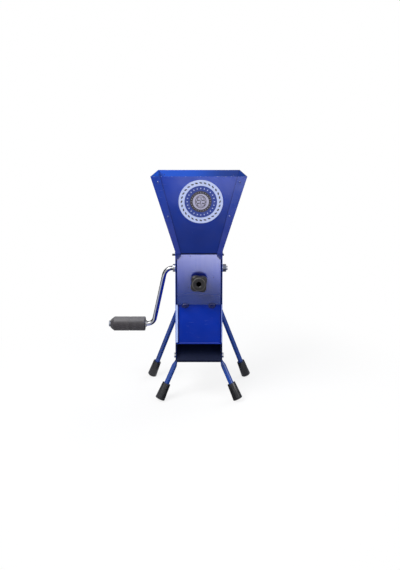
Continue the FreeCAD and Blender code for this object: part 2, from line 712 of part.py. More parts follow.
def jaw_plate():
    """The jaw: a thick plate with saw-tooth ridges towards the drum, seated on its hinge tube."""
    back, front = -JAW_THICKNESS / 2, JAW_THICKNESS / 2
    pitch = (JAW_LENGTH - RIDGE_MARGIN) / JAW_RIDGES
    outline = [(back, 0), (back, -JAW_LENGTH)]
    for k in range(JAW_RIDGES):
        low = k * pitch - JAW_LENGTH
        outline += [(front, low), (front + RIDGE_HEIGHT, low + pitch * RIDGE_LEAN)]
    outline += [(front, -RIDGE_MARGIN), (front, 0)]
    plate = polygon(outline, on_yz).extrude(vec(JAW_WIDTH, 0, 0))
    plate.translate(vec(-JAW_WIDTH / 2, 0, 0))
    half = JAW_WIDTH / 2
    plate = plate.cut(rod_x(-half, half, HINGE_TUBE_RADIUS + SEAT_GAP, 0, 0))
    plate.rotate(vec(0, 0, 0), X_AXIS, JAW_TILT)
    plate.translate(vec(0, HINGE_Y, HINGE_Z))
    return plate


# Adjusting screw ----------------------------------------------------------------------------------


def pad_centre_y():
    """The centre of the pad's dome, which lies its gap behind the jaw's back face."""
    tilt = math.radians(JAW_TILT)
    drop = HINGE_Z - SCREW_Z
    reach = JAW_THICKNESS / 2 + PAD_DOME_RADIUS + PAD_JAW_GAP
    return HINGE_Y + (drop * math.sin(tilt) - reach) / math.cos(tilt)


def pad_back_y():
    """The rear face of the pressure pad."""
    return pad_centre_y() + math.sqrt(PAD_DOME_RADIUS ** 2 - PAD_RADIUS ** 2) - PAD_RIM


def pressure_pad():
    """The domed pad on the screw's nose, with a blind socket."""
    dome = Part.makeSphere(PAD_DOME_RADIUS, vec(0, pad_centre_y(), SCREW_Z))
    pad = dome.common(rod_y(pad_back_y(), pad_back_y() + 2 * PAD_DOME_RADIUS, PAD_RADIUS, 0, SCREW_Z))
    return pad.cut(rod_y(pad_back_y(), pad_back_y() + PAD_SOCKET, SCREW_NOSE_RADIUS + RUN_FIT, 0, SCREW_Z))


def knob_back_y():
    """The rear end of the knob's hub."""
    return COVER_FACE_Y - KNOB_COVER_GAP


def adjusting_screw():
    """The screw from inside the knob to its nose in the pad."""
    start = knob_back_y() - KNOB_SOCKET
    shoulder = pad_back_y() - SEAT_GAP
    screw = rod_y(start, shoulder, SCREW_RADIUS, 0, SCREW_Z)
    nose = rod_y(shoulder, shoulder + PAD_SOCKET, SCREW_NOSE_RADIUS, 0, SCREW_Z)
    return screw.fuse(nose).removeSplitter()


def screw_nut():
    """The nut welded inside the cover."""
    base = vec(0, COVER_FACE_Y + SHEET, SCREW_Z)
    return hex_nut(SCREW_NUT_FLATS, SCREW_NUT_HEIGHT, SCREW_RADIUS + RUN_FIT, base, Y_AXIS)


def knob_outline():
    """The lobed outline: convex lobes joined by tangent hollows, in (x, z) about the screw."""
    step = 2 * math.pi / KNOB_LOBES
    along = KNOB_LOBE_PITCH * math.cos(step / 2)
    across = KNOB_LOBE_PITCH * math.sin(step / 2)
    inset = KNOB_NOTCH_RADIUS - along
    hollow = (inset ** 2 + across ** 2 - KNOB_LOBE_RADIUS ** 2) / (2 * (KNOB_LOBE_RADIUS - inset))
    hollow_at = KNOB_NOTCH_RADIUS + hollow
    share = KNOB_LOBE_RADIUS / (KNOB_LOBE_RADIUS + hollow)
    joint_x = along + (hollow_at - along) * share
    joint_z = across - across * share

    def turned(x, z, angle):
        return on_xz(x * math.cos(angle) - z * math.sin(angle), x * math.sin(angle) + z * math.cos(angle))

    edges = []
    tip = KNOB_LOBE_PITCH + KNOB_LOBE_RADIUS
    for k in range(KNOB_LOBES):
        angle = k * step + math.radians(KNOB_TURN)
        edges.append(Part.Arc(turned(joint_x, -joint_z, angle), turned(KNOB_NOTCH_RADIUS, 0, angle),
                              turned(joint_x, joint_z, angle)).toShape())
        edges.append(Part.Arc(turned(joint_x, joint_z, angle), turned(tip, 0, angle + step / 2),
                              turned(joint_x, -joint_z, angle + step)).toShape())
    return Part.Face(Part.Wire(edges))


def adjusting_knob():
    """The lobed knob: rounded rims, a raised round face with a recess, and a hub towards the cover."""
    body = knob_outline().extrude(vec(0, KNOB_THICKNESS, 0))
    rims = [e for e in body.Edges if abs(e.BoundBox.YMax - e.BoundBox.YMin) < 0.01]
    body = body.makeChamfer(KNOB_EDGE, rims)
    body = body.fuse(rod_y(-KNOB_FACE_HEIGHT, KNOB_EDGE, KNOB_FACE_RADIUS, 0, 0))
    body = body.fuse(rod_y(KNOB_THICKNESS - KNOB_EDGE, KNOB_THICKNESS + KNOB_HUB_LENGTH,
                           KNOB_HUB_RADIUS, 0, 0))
    floor = KNOB_RECESS_DEPTH - KNOB_FACE_HEIGHT
    body = body.cut(rod_y(-KNOB_FACE_HEIGHT, floor, KNOB_RECESS_RADIUS, 0, 0))
    length = KNOB_THICKNESS + KNOB_HUB_LENGTH
    body = body.cut(rod_y(length - KNOB_SOCKET, length, SCREW_RADIUS + RUN_FIT, 0, 0))
    body.translate(vec(0, knob_back_y() - KNOB_HUB_LENGTH - KNOB_THICKNESS, SCREW_Z))
    return body.removeSplitter()


# Legs and feet ------------------------------------------------------------------------------------


def ring_wire(centre, wide, thin, half_wide, half_thin, mid_wide, mid_thin):
    """A closed section of four sides, straight where a side's middle lies level with its corners."""
    signs = [(1, 1), (-1, 1), (-1, -1), (1, -1)]
    corners = [centre + wide * (half_wide * a) + thin * (half_thin * b) for a, b in signs]
    middles = [centre + thin * mid_thin, centre - wide * mid_wide,
               centre - thin * mid_thin, centre + wide * mid_wide]
    edges = []
    for start, middle, end in zip(corners, middles, corners[1:] + corners[:1]):
        straight = ((start + end) * 0.5 - middle).Length < 1e-6
        curve = Part.LineSegment(start, end) if straight else Part.Arc(start, middle, end)
        edges.append(curve.toShape())
    return Part.Wire(edges)


def leg_tube(flat_centre, wide, thin, tube_start, foot_centre):
    """The necked part of a leg from its flattened end and the hollow tube down into the foot."""
    axis = (foot_centre - tube_start).normalize()
    side = axis.cross(wide).normalize()
    if side.dot(thin) < 0:
        side = -side
    across = side.cross(axis).normalize()
    if across.dot(wide) < 0:
        across = -across
    half = LEG_FLAT / 2
    quarter = LEG_RADIUS / math.sqrt(2)
    flat = ring_wire(flat_centre, wide, thin, LEG_FLAT_WIDTH / 2 - half / 2, half, LEG_FLAT_WIDTH / 2, half)
    circle = ring_wire(tube_start, across, side, quarter, quarter, LEG_RADIUS, LEG_RADIUS)
    neck = Part.makeLoft([flat, circle], True, False)
    end = foot_centre - axis * (FOOT_LENGTH - FOOT_SOCKET)
    length = (end - tube_start).Length
    tube = Part.makeCylinder(LEG_RADIUS, length, tube_start, axis)
    leg = neck.fuse(tube)
    return leg.cut(Part.makeCylinder(LEG_RADIUS - LEG_WALL, length, tube_start, axis))


def foot_height(tilt):
    """The height of a foot's bottom centre that presses its lower edge flat on the bench."""
    return FOOT_BOTTOM_RADIUS * math.sin(tilt) - FOOT_PRESS


def front_leg_points():
    """The right front leg's flat centre, tube start and foot centre."""
    flat = vec(HALF_IN - LEG_FLAT / 2, FRONT_LEG_TOP_Y, FRONT_LEG_KNEE_Z)
    spread = math.hypot(FRONT_FOOT_X - flat.x, FRONT_FOOT_Y - flat.y)
    tilt = math.atan2(spread, FRONT_LEG_KNEE_Z)
    foot = vec(FRONT_FOOT_X, FRONT_FOOT_Y, foot_height(tilt))
    axis = (foot - flat).normalize()
    return flat, flat + axis * LEG_NECK, foot


def front_leg():
    """The right front leg: its flattened end lies on the side wall's inner face."""
    flat, start, foot = front_leg_points()
    leg = leg_tube(flat, Y_AXIS, X_AXIS, start, foot)
    inner = HALF_IN - LEG_FLAT
    half = LEG_FLAT_WIDTH / 2
    tongue = block(inner, HALF_IN, flat.y - half, flat.y + half, FRONT_LEG_KNEE_Z, FRONT_LEG_BOLT_Z)
    tongue = tongue.fuse(rod_x(inner, HALF_IN, half, flat.y, FRONT_LEG_BOLT_Z))
    leg = leg.fuse(tongue)
    leg = leg.cut(rod_x(inner, HALF_IN, M6 + HOLE_FIT, flat.y, FRONT_LEG_BOLT_Z))
    return leg.removeSplitter()


def rear_leg_points():
    """The right rear leg's bolt point, downward direction, flat centre, tube start and foot centre."""
    flat_y = BACK_FACE_Y + LEG_FLAT / 2
    tube_y = BACK_FACE_Y + LEG_RADIUS + SEAT_GAP
    tilt = math.atan2(REAR_FOOT_X - REAR_LEG_TOP_X, REAR_LEG_TOP_Z)
    foot = vec(REAR_FOOT_X, tube_y, foot_height(tilt))
    bolt = vec(REAR_LEG_TOP_X, flat_y, REAR_LEG_TOP_Z)
    down = vec(foot.x - bolt.x, 0, foot.z - bolt.z).normalize()
    flat = bolt + down * REAR_LEG_FLAT_LENGTH
    start = flat + down * LEG_NECK
    return bolt, down, flat, vec(start.x, tube_y, start.z), foot


def rear_leg():
    """The right rear leg: its flattened end lies on the back wall."""
    bolt, down, flat, start, foot = rear_leg_points()
    wide = down.cross(Y_AXIS).normalize()
    leg = leg_tube(flat, wide, Y_AXIS, start, foot)
    half = LEG_FLAT_WIDTH / 2
    corners = [bolt + wide * half, bolt - wide * half, flat - wide * half, flat + wide * half]
    face = Part.Face(Part.makePolygon(corners + corners[:1]))
    face.translate(vec(0, -LEG_FLAT / 2, 0))
    tongue = face.extrude(vec(0, LEG_FLAT, 0))
    tongue = tongue.fuse(rod_y(BACK_FACE_Y, BACK_FACE_Y + LEG_FLAT, half, bolt.x, bolt.z))
    leg = leg.fuse(tongue)
    leg = leg.cut(rod_y(BACK_FACE_Y, BACK_FACE_Y + LEG_FLAT, M6 + HOLE_FIT, bolt.x, bolt.z))
    return leg.removeSplitter()


def rubber_foot(tube_start, foot_centre):
    """A tapered rubber cap on a leg, worn flat where it meets the bench."""
    up = (tube_start - foot_centre).normalize()
    socket = LEG_RADIUS + RUN_FIT
    floor = FOOT_LENGTH - FOOT_SOCKET
    profile = [(0, 0), (FOOT_BOTTOM_RADIUS - FOOT_EDGE, 0), (FOOT_BOTTOM_RADIUS, FOOT_EDGE),
               (FOOT_TOP_RADIUS, FOOT_LENGTH), (socket, FOOT_LENGTH), (socket, floor), (0, floor)]
    foot = turned(profile, foot_centre, up)
    reach = 2 * FOOT_LENGTH
    bench = block(foot_centre.x - reach, foot_centre.x + reach, foot_centre.y - reach,
                  foot_centre.y + reach, -reach, 0)
    return foot.cut(bench)


def bolt_and_nut(seat, direction, grip):
    """A hexagon-head M6 bolt through a stack of the given thickness, and its nut."""
    shank = Part.makeCylinder(M6, grip + M6_NUT + BOLT_SPARE, seat, direction)
    bolt = hexagon_bar(M6_FLATS, M6_HEAD, seat, -direction).fuse(shank)
    nut = hex_nut(M6_FLATS, M6_NUT, M6 + RUN_FIT, seat + direction * grip, direction)
    return [bolt.removeSplitter().Solids[0], nut]


def front_leg_bolts():
    """The bolts through the side walls and the front legs' flattened ends."""
    seat = vec(HALF_OUT, FRONT_LEG_TOP_Y, FRONT_LEG_BOLT_Z)
    pair = bolt_and_nut(seat, -X_AXIS, SHEET + LEG_FLAT)
    return Part.makeCompound(pair + [mirrored(s) for s in pair])


def rear_leg_bolts():
    """The bolts through the rear legs' flattened ends and the back wall."""
    seat = vec(REAR_LEG_TOP_X, BACK_FACE_Y + LEG_FLAT, REAR_LEG_TOP_Z)
    pair = bolt_and_nut(seat, -Y_AXIS, SHEET + LEG_FLAT)
    return Part.makeCompound(pair + [mirrored(s) for s in pair])


def build_nodes():
    """Every node's shape by name."""
    wall = side_wall()
    side = hopper_side()
    bush = shaft_bush()
    front, rear = front_leg(), rear_leg()
    front_foot = rubber_foot(front_leg_points()[1], front_leg_points()[2])
    rear_foot = rubber_foot(rear_leg_points()[3], rear_leg_points()[4])
    nodes = {
        "back_wall": back_wall(),
        "lower_front_panel": lower_front_panel(),
        "front_cover": front_cover(),
        "cover_welds": cover_welds(),
        "chute_floor": chute_floor(),
        "feed_guide": feed_guide(),
        "hopper_front_panel": hopper_end_panel(True),
        "hopper_back_panel": hopper_end_panel(False),
        "hopper_rivets": hopper_rivets(),
        "skirt_bolts": skirt_bolts(),
        "crank_bar": crank_bar(),
        "cracking_drum": cracking_drum(),
        "drum_pin": drum_pin(),
        "shaft_collar": shaft_collar(),
        "collar_screw": collar_screw(),
        "shaft_washer": shaft_washer(),
        "shaft_nut": shaft_nut(),
        "hand_grip": hand_grip(),
        "grip_collar": grip_collar(),
        "grip_nut": grip_nut(),
        "hinge_rod": hinge_rod(),
        "jaw_tube": jaw_tube(),
        "jaw_plate": jaw_plate(),
        "pressure_pad": pressure_pad(),
        "adjusting_screw": adjusting_screw(),
        "screw_nut": screw_nut(),
        "adjusting_knob": adjusting_knob(),
        "front_leg_bolts": front_leg_bolts(),
        "rear_leg_bolts": rear_leg_bolts(),
    }
    pairs = {"side_wall": wall, "hopper_side": side, "shaft_bush": bush, "leg_front": front,
             "leg_rear": rear, "foot_front": front_foot, "foot_rear": rear_foot}
    for name, shape in pairs.items():
        nodes[name + "_right"] = shape
        nodes[name + "_left"] = mirrored(shape)
    return nodes


def main():
    """Write one STEP file for each node."""
    os.makedirs("parts", exist_ok=True)
    for name, shape in build_nodes().items():
        shape.exportStep("parts/" + name + ".step")


main()
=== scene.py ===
"""Dresses a hand crank nut cracker: painted sheet, plated bar, rubber feet, round label, floor and light."""

from __future__ import annotations

import json
import logging
import math
from dataclasses import dataclass
from enum import Enum
from typing import Any, Callable, Iterable, Sequence

import bmesh
import bpy
from mathutils import Matrix, Vector

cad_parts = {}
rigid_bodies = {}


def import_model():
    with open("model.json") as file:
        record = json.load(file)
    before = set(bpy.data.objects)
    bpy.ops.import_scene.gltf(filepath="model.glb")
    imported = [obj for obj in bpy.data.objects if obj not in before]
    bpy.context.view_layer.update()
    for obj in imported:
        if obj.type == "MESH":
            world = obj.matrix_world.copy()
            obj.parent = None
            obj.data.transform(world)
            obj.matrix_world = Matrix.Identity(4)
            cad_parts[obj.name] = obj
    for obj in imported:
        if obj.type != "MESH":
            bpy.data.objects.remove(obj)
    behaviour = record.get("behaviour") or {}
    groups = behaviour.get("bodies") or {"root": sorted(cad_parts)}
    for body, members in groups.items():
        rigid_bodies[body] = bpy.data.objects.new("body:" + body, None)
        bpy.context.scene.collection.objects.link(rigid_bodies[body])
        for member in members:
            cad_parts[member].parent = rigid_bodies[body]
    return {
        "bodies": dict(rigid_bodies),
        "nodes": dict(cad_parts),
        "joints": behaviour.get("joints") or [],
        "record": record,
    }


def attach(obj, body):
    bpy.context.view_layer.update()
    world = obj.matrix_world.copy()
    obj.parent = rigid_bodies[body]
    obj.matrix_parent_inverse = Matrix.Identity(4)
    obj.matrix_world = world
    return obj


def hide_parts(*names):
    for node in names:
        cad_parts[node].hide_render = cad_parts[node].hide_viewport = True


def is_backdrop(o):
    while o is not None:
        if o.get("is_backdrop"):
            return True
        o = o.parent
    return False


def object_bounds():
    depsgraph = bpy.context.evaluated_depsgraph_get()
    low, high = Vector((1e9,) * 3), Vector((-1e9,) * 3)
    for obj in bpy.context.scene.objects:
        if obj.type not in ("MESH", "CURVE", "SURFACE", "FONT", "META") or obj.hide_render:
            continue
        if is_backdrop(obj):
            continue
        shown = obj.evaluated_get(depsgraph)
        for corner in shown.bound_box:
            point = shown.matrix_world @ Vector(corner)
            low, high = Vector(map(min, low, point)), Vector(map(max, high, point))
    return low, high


log = logging.getLogger("nut_cracker")
MM = 0.001
CREASE = math.radians(32)  # edges sharper than this are rounded, or shaded sharp
FLAT = math.radians(0.8)  # faces that bend less than this are joined
JOIN, TINY = 1e-6, 1e-7  # metres within which points are one, and a radius is none
INK = 0.04 * MM  # thickness of a print
Triple = tuple[float, float, float]
Colour = Triple
Span = tuple[float, float]
Point = Sequence[float]
WHITE: Colour = (1.0, 1.0, 1.0)
BLACK: Colour = (0.0, 0.0, 0.0)


# Node trees --------------------------------------------------------------------------------------


def math_node(operation: str, swapped: bool = False) -> Callable[..., Signal]:
    """Writes a method of Signal that adds one Math node.

    Args:
        operation: The node's operation.
        swapped: Puts the signal after the other value.

    Returns:
        The method.
    """

    def method(signal: Signal, *others: Any) -> Signal:
        """The operation on the signal and the other values."""
        values = (*others, signal) if swapped else (signal, *others)
        return signal.graph.node("ShaderNodeMath", dict(enumerate(values)), operation=operation)

    return method


class Signal:
    """An output socket that joins in expressions; each operator adds one Math node."""

    def __init__(self, graph: Graph, socket: bpy.types.NodeSocket) -> None:
        """Keeps the socket and the graph that it belongs to."""
        self.graph = graph
        self.socket = socket

    __add__ = __radd__ = math_node("ADD")
    __sub__, __rsub__ = math_node("SUBTRACT"), math_node("SUBTRACT", swapped=True)
    __mul__ = __rmul__ = math_node("MULTIPLY")
    __truediv__, __rtruediv__ = math_node("DIVIDE"), math_node("DIVIDE", swapped=True)
    __pow__, __abs__ = math_node("POWER"), math_node("ABSOLUTE")
    larger, above = math_node("MAXIMUM"), math_node("GREATER_THAN")
    arctan2, wrapped = math_node("ARCTAN2"), math_node("WRAP")

    def step(self, low: float, high: float) -> Signal:
        """A smooth rise from 0 at low to 1 at high."""
        inputs = {"Value": self, "From Min": low, "From Max": high}
        return self.graph.node("ShaderNodeMapRange", inputs, interpolation_type="SMOOTHSTEP")

    def fall(self, low: float, high: float) -> Signal:
        """A smooth fall from 1 at low to 0 at high."""
        return 1 - self.step(low, high)

    def between(self, rise: Span, fall: Span) -> Signal:
        """1 between two spans: it rises over the first and falls over the second."""
        return self.step(*rise) * self.fall(*fall)


class Graph:
    """A node tree that is written as expressions."""

    def __init__(self, tree: bpy.types.NodeTree, output: str) -> None:
        """Empties the tree and gives it an output node of that type."""
        self.tree = tree
        tree.nodes.clear()
        self.output = tree.nodes.new(output)

    def node(self, kind: str, inputs: dict[Any, Any] | None = None, output: Any = 0,
             **settings: Any) -> Signal:
        """Adds a node.

        Args:
            kind: The node's type.
            inputs: Values or signals by socket name or number; a list plugs in each of its signals.
            output: The socket that is returned.
            settings: The node's properties, set before its inputs.

        Returns:
            The output as a signal.
        """
        made = self.tree.nodes.new(kind)
        for name, value in settings.items():
            setattr(made, name, value)
        for name, value in (inputs or {}).items():
            for item in value if isinstance(value, list) else [value]:
                self.plug(made.inputs[name], item)
        return Signal(self, made.outputs[output])

    def plug(self, socket: bpy.types.NodeSocket, value: Any) -> None:
        """Links a signal to a socket, or sets its value."""
        if isinstance(value, Signal):
            self.tree.links.new(value.socket, socket)
        elif socket.type == "RGBA":
            socket.default_value = (*value, 1.0)
        else:
            socket.default_value = value

    def mix(self, factor: Any, low: Any, high: Any) -> Signal:
        """A colour between low and high."""
        return self.node("ShaderNodeMix", {0: factor, 6: low, 7: high}, 2, data_type="RGBA")

    def coordinate(self, kind: str, axis: str) -> Signal:
        """X, Y or Z of a kind of texture coordinate."""
        return self.node("ShaderNodeSeparateXYZ", {0: self.node("ShaderNodeTexCoord", output=kind)}, axis)

    def rays(self, kind: str) -> Signal:
        """1 for the rays that an output of the light path node names, else 0."""
        return self.node("ShaderNodeLightPath", output=kind)


class Recipe(Graph):
    """One material's node tree."""

    def __init__(self, name: str) -> None:
        """Makes a material of that name."""
        self.material = bpy.data.materials.new(name)
        self.material.use_nodes = True
        super().__init__(self.material.node_tree, "ShaderNodeOutputMaterial")

    def place(self) -> Signal:
        """The point on the piece, in metres."""
        return self.node("ShaderNodeTexCoord", output="Object")

    def axis(self, name: str) -> Signal:
        """One coordinate of the point, X, Y or Z."""
        return self.coordinate("Object", name)

    def facing(self, name: str) -> Signal:
        """One coordinate of the surface's own direction, X, Y or Z."""
        return self.coordinate("Normal", name)

    def out_from(self, height: float) -> Signal:
        """The distance from the line that runs from front to back at a height."""
        return (self.axis("X") ** 2 + (self.axis("Z") - height) ** 2) ** 0.5

    def noise(self, size: float, detail: float = 2.0, stretch: Triple = (1.0, 1.0, 1.0),
              shift: float = 0.0) -> Signal:
        """Smooth noise round 0.5.

        Args:
            size: The width of its blobs in metres.
            detail: Octaves.
            stretch: How many times longer a blob is along each axis.
            shift: Moves the pattern.

        Returns:
            The noise.
        """
        inputs = {"Vector": self.place(), "Scale": tuple(1.0 / (size * s) for s in stretch),
                  "Location": (shift, shift * 0.7, -shift)}
        where = self.node("ShaderNodeMapping", inputs)
        return self.node("ShaderNodeTexNoise", {"Vector": where, "Scale": 1.0, "Detail": detail})

    def specks(self, size: float, share: float) -> Signal:
        """Small round specks, 1 inside a speck.

        Args:
            size: The mean distance between them in metres.
            share: A speck's radius as a share of that distance.

        Returns:
            The mask.
        """
        cells = self.node("ShaderNodeTexVoronoi", {"Vector": self.place(), "Scale": 1.0 / size}, "Distance")
        return cells.fall(share * 0.5, share)

    def layered(self, colour: Any, *layers: tuple[Signal, float, Any]) -> Any:
        """Lays colours over a colour.

        Args:
            colour: The colour at the bottom.
            layers: Where each one on top lies, how strong it is there, and its colour.

        Returns:
            The colour of them all.
        """
        for where, strength, tint in layers:
            colour = self.mix(where * strength, colour, tint)
        return colour

    def relief(self, height: Signal, depth: float, **over: Signal) -> Signal:
        """A bumped normal, height times depth in metres, over the given Normal or the plain one."""
        return self.node("ShaderNodeBump", {"Height": height, "Distance": depth, **over})

    def coat(self, **values: Any) -> bpy.types.Material:
        """Ends the recipe with a principled shader; in the inputs' names, underscores stand for spaces."""
        inputs = {name.replace("_", " "): value for name, value in values.items()}
        return self.surface(self.node("ShaderNodeBsdfPrincipled", inputs))

    def surface(self, shader: Signal) -> bpy.types.Material:
        """Ends the recipe with a shader."""
        self.plug(self.output.inputs["Surface"], shader)
        return self.material


class Jig(Graph):
    """One geometry node tree with named inputs, and what turns it into a plain mesh."""

    def __init__(self, name: str) -> None:
        """Makes the tree with a geometry input and output."""
        tree = bpy.data.node_groups.new(name, "GeometryNodeTree")
        for way in ("INPUT", "OUTPUT"):
            tree.interface.new_socket("Geometry", in_out=way, socket_type="NodeSocketGeometry")
        super().__init__(tree, "NodeGroupOutput")
        self.source = tree.nodes.new("NodeGroupInput")
        self.identifiers: dict[str, str] = {}

    @property
    def base(self) -> Signal:
        """The geometry that the tree works on."""
        return Signal(self, self.source.outputs["Geometry"])

    def take(self, *names: str, kind: str = "Float") -> list[Signal]:
        """Adds named inputs.

        Args:
            names: Their names.
            kind: What they hold: Float, Int or Material.

        Returns:
            The inputs as signals.
        """
        for name in names:
            made = self.tree.interface.new_socket(name, in_out="INPUT", socket_type="NodeSocket" + kind)
            self.identifiers[name] = made.identifier
        return [Signal(self, self.source.outputs[name]) for name in names]

    def triple(self, x: Any, y: Any, z: Any) -> Signal:
        """A vector of three sizes."""
        return self.node("ShaderNodeCombineXYZ", {0: x, 1: y, 2: z})

    def pushed(self, part: Signal, way: Signal, amount: Signal) -> Signal:
        """The geometry with each point moved along a direction."""
        offset = self.node("ShaderNodeVectorMath", {0: way, "Scale": amount}, operation="SCALE")
        return self.node("GeometryNodeSetPosition", {"Geometry": part, "Offset": offset})

    def scaled(self, part: Signal, scale: Any, shift: Any = (0.0, 0.0, 0.0)) -> Signal:
        """The geometry scaled and moved."""
        return self.node("GeometryNodeTransform", {0: part, "Scale": scale, "Translation": shift})

    def set_out(self, part: Signal) -> Signal:
        """The part on every point of the base, its Z along the point's "out" and its X along "along"."""
        turn: dict[str, Signal] = {}
        for attribute, axis, pivot in (("out", "Z", "AUTO"), ("along", "X", "Z")):
            aim = self.node("GeometryNodeInputNamedAttribute", {"Name": attribute}, data_type="FLOAT_VECTOR")
            turn["Rotation"] = self.node("FunctionNodeAlignRotationToVector", {"Vector": aim, **turn},
                                         axis=axis, pivot_axis=pivot)
        return self.node("GeometryNodeInstanceOnPoints", {"Points": self.base, "Instance": part, **turn})

    def end(self, geometry: Signal, smooth: bool = True) -> Jig:
        """Realises the instances, shades them and sets the material; returns the jig."""
        [finish] = self.take("Finish", kind="Material")
        plain = self.node("GeometryNodeRealizeInstances", {0: geometry})
        shaded = self.node("GeometryNodeSetShadeSmooth", {0: plain, "Shade Smooth": smooth})
        done = self.node("GeometryNodeSetMaterial", {0: shaded, "Material": finish})
        self.plug(self.output.inputs[0], done)
        return self

    def make(self, name: str, base: bpy.types.Mesh, finish: Finish, **sizes: float) -> bpy.types.Object:
        """Runs the tree on a base mesh.

        Args:
            name: The new piece's name.
            base: The mesh that the tree works on.
            finish: The finish it sets.
            sizes: Values of the named inputs; underscores stand for spaces.

        Returns:
            A plain mesh object at the origin.
        """
        carrier = linked(name + "_base", base)
        modifier = carrier.modifiers.new("jig", "NODES")
        modifier.node_group = self.tree
        for key, value in {**sizes, "Finish": finish.material}.items():
            modifier[self.identifiers[key.replace("_", " ")]] = value
        return flattened(carrier, name)


def rivet_jig() -> Jig:
    """Domed rivets with shanks, one on every point."""
    jig = Jig("rivets")
    facets = 20
    head, dome, shank, length = jig.take("Head radius", "Dome height", "Shank radius", "Shank length")
    ball = jig.node("GeometryNodeMeshUVSphere", {"Segments": facets, "Rings": facets // 2, "Radius": 1.0})
    cap = jig.scaled(ball, jig.triple(head, head, dome))
    pin = jig.node("GeometryNodeMeshCylinder", {"Vertices": facets, "Radius": shank, "Depth": length})
    pin = jig.scaled(pin, (1.0, 1.0, 1.0), jig.triple(0.0, 0.0, length * -0.5))
    return jig.end(jig.set_out(jig.node("GeometryNodeJoinGeometry", {0: [cap, pin]})))


def mark_jig() -> Jig:
    """Flat printed marks, one on every point: a prism of any number of sides, stretched."""
    jig = Jig("marks")
    [sides] = jig.take("Sides", kind="Int")
    length, width, height = jig.take("Length", "Width", "Height")
    prism = jig.node("GeometryNodeMeshCylinder", {"Vertices": sides, "Radius": 0.5, "Depth": 1.0})
    return jig.end(jig.set_out(jig.scaled(prism, jig.triple(length, width, height))), smooth=False)


def weld_jig() -> Jig:
    """Lumpy drops of weld metal, one on every point."""
    jig = Jig("welds")
    length, width, height, lumps, grain = jig.take("Length", "Width", "Height", "Lumps", "Grain")
    ball = jig.node("GeometryNodeMeshIcoSphere", {"Subdivisions": 5, "Radius": 0.5})
    drops = jig.set_out(jig.scaled(ball, jig.triple(length, width, height)))
    noise = jig.node("ShaderNodeTexNoise", {"Scale": 1.0 / grain, "Detail": 1.5})
    plain = jig.node("GeometryNodeRealizeInstances", {0: drops})
    return jig.end(jig.pushed(plain, jig.node("GeometryNodeInputNormal"), (noise - 0.5) * lumps))


def flute_jig() -> Jig:
    """Scooped flutes along a drum whose axis lies along X: its outermost points are drawn inwards."""
    jig = Jig("flutes")
    [count] = jig.take("Flutes", kind="Int")
    radius, depth, share, *centre = jig.take("Radius", "Depth", "Share", "Centre Y", "Centre Z")
    spot = jig.node("GeometryNodeInputPosition")
    y, z = (jig.node("ShaderNodeSeparateXYZ", {0: spot}, axis) - middle for axis, middle in zip("YZ", centre))
    off = (z.arctan2(y) / (2 * math.pi / count)).wrapped(0.5, -0.5) / (share * 0.5)
    scoop = (1.0 - off * off).larger(0.0)
    ray = jig.triple(0.0, y, z)
    reach = jig.node("ShaderNodeVectorMath", {0: ray}, "Value", operation="LENGTH")
    outer = reach.above(radius - 0.1 * MM)
    return jig.end(jig.pushed(jig.base, ray, scoop * outer * (depth * -1.0) / reach))


def thread_jig() -> Jig:
    """The raised helix of a screw thread, up the Z axis from the origin."""
    jig = Jig("thread")
    radius, pitch, length, ridge = jig.take("Radius", "Pitch", "Length", "Ridge")
    shape = {"Resolution": 28, "Rotations": length / pitch, "Height": length, "Start Radius": radius,
             "End Radius": radius}
    helix = jig.node("GeometryNodeCurveSpiral", shape)
    section = jig.node("GeometryNodeCurvePrimitiveCircle", {"Resolution": 5, "Radius": ridge})
    swept = {"Curve": helix, "Profile Curve": section, "Fill Caps": True}
    return jig.end(jig.node("GeometryNodeCurveToMesh", swept))


# Mesh work ---------------------------------------------------------------------------------------


def set_points(points: Sequence[Point], outs: Sequence[Point], alongs: Sequence[Point]) -> bpy.types.Mesh:
    """Loose points for a jig, each with the directions of its part's Z and X axes."""
    mesh = mesh_of(points)
    for name, values in (("out", outs), ("along", alongs)):
        layer = mesh.attributes.new(name, "FLOAT_VECTOR", "POINT")
        for item, value in zip(layer.data, values):
            item.vector = tuple(value)
    return mesh


def flattened(carrier: bpy.types.Object, name: str) -> bpy.types.Object:
    """The object with its modifiers turned into a plain mesh, in place of the object.

    Args:
        carrier: The object with modifiers; it is removed.
        name: The new object's name.

    Returns:
        The plain mesh object.
    """
    graph = bpy.context.evaluated_depsgraph_get()
    mesh = bpy.data.meshes.new_from_object(carrier.evaluated_get(graph), depsgraph=graph)
    bpy.data.objects.remove(carrier)
    return linked(name, mesh)


def linked(name: str, data: bpy.types.ID) -> bpy.types.Object:
    """A new object for mesh, lamp or camera data, which takes its name; it is linked to the scene."""
    data.name = name
    made = bpy.data.objects.new(name, data)
    bpy.context.scene.collection.objects.link(made)
    return made


def mesh_of(points: Iterable[Point], faces: Iterable[Sequence[int]] = ()) -> bpy.types.Mesh:
    """A mesh from plain lists."""
    mesh = bpy.data.meshes.new("mesh")
    mesh.from_pydata([tuple(p) for p in points], [], list(faces))
    mesh.validate()
    return mesh


def mesh_from(form: bmesh.types.BMesh, finish: Finish) -> bpy.types.Mesh:
    """The form as a mesh with a finish; the form is freed."""
    mesh = bpy.data.meshes.new("mesh")
    form.to_mesh(mesh)
    form.free()
    mesh.materials.append(finish.material)
    return mesh


def ring_angles(count: int) -> list[float]:
    """Equal angles round a full turn, without the last one that meets the first."""
    return [2 * math.pi * k / count for k in range(count)]


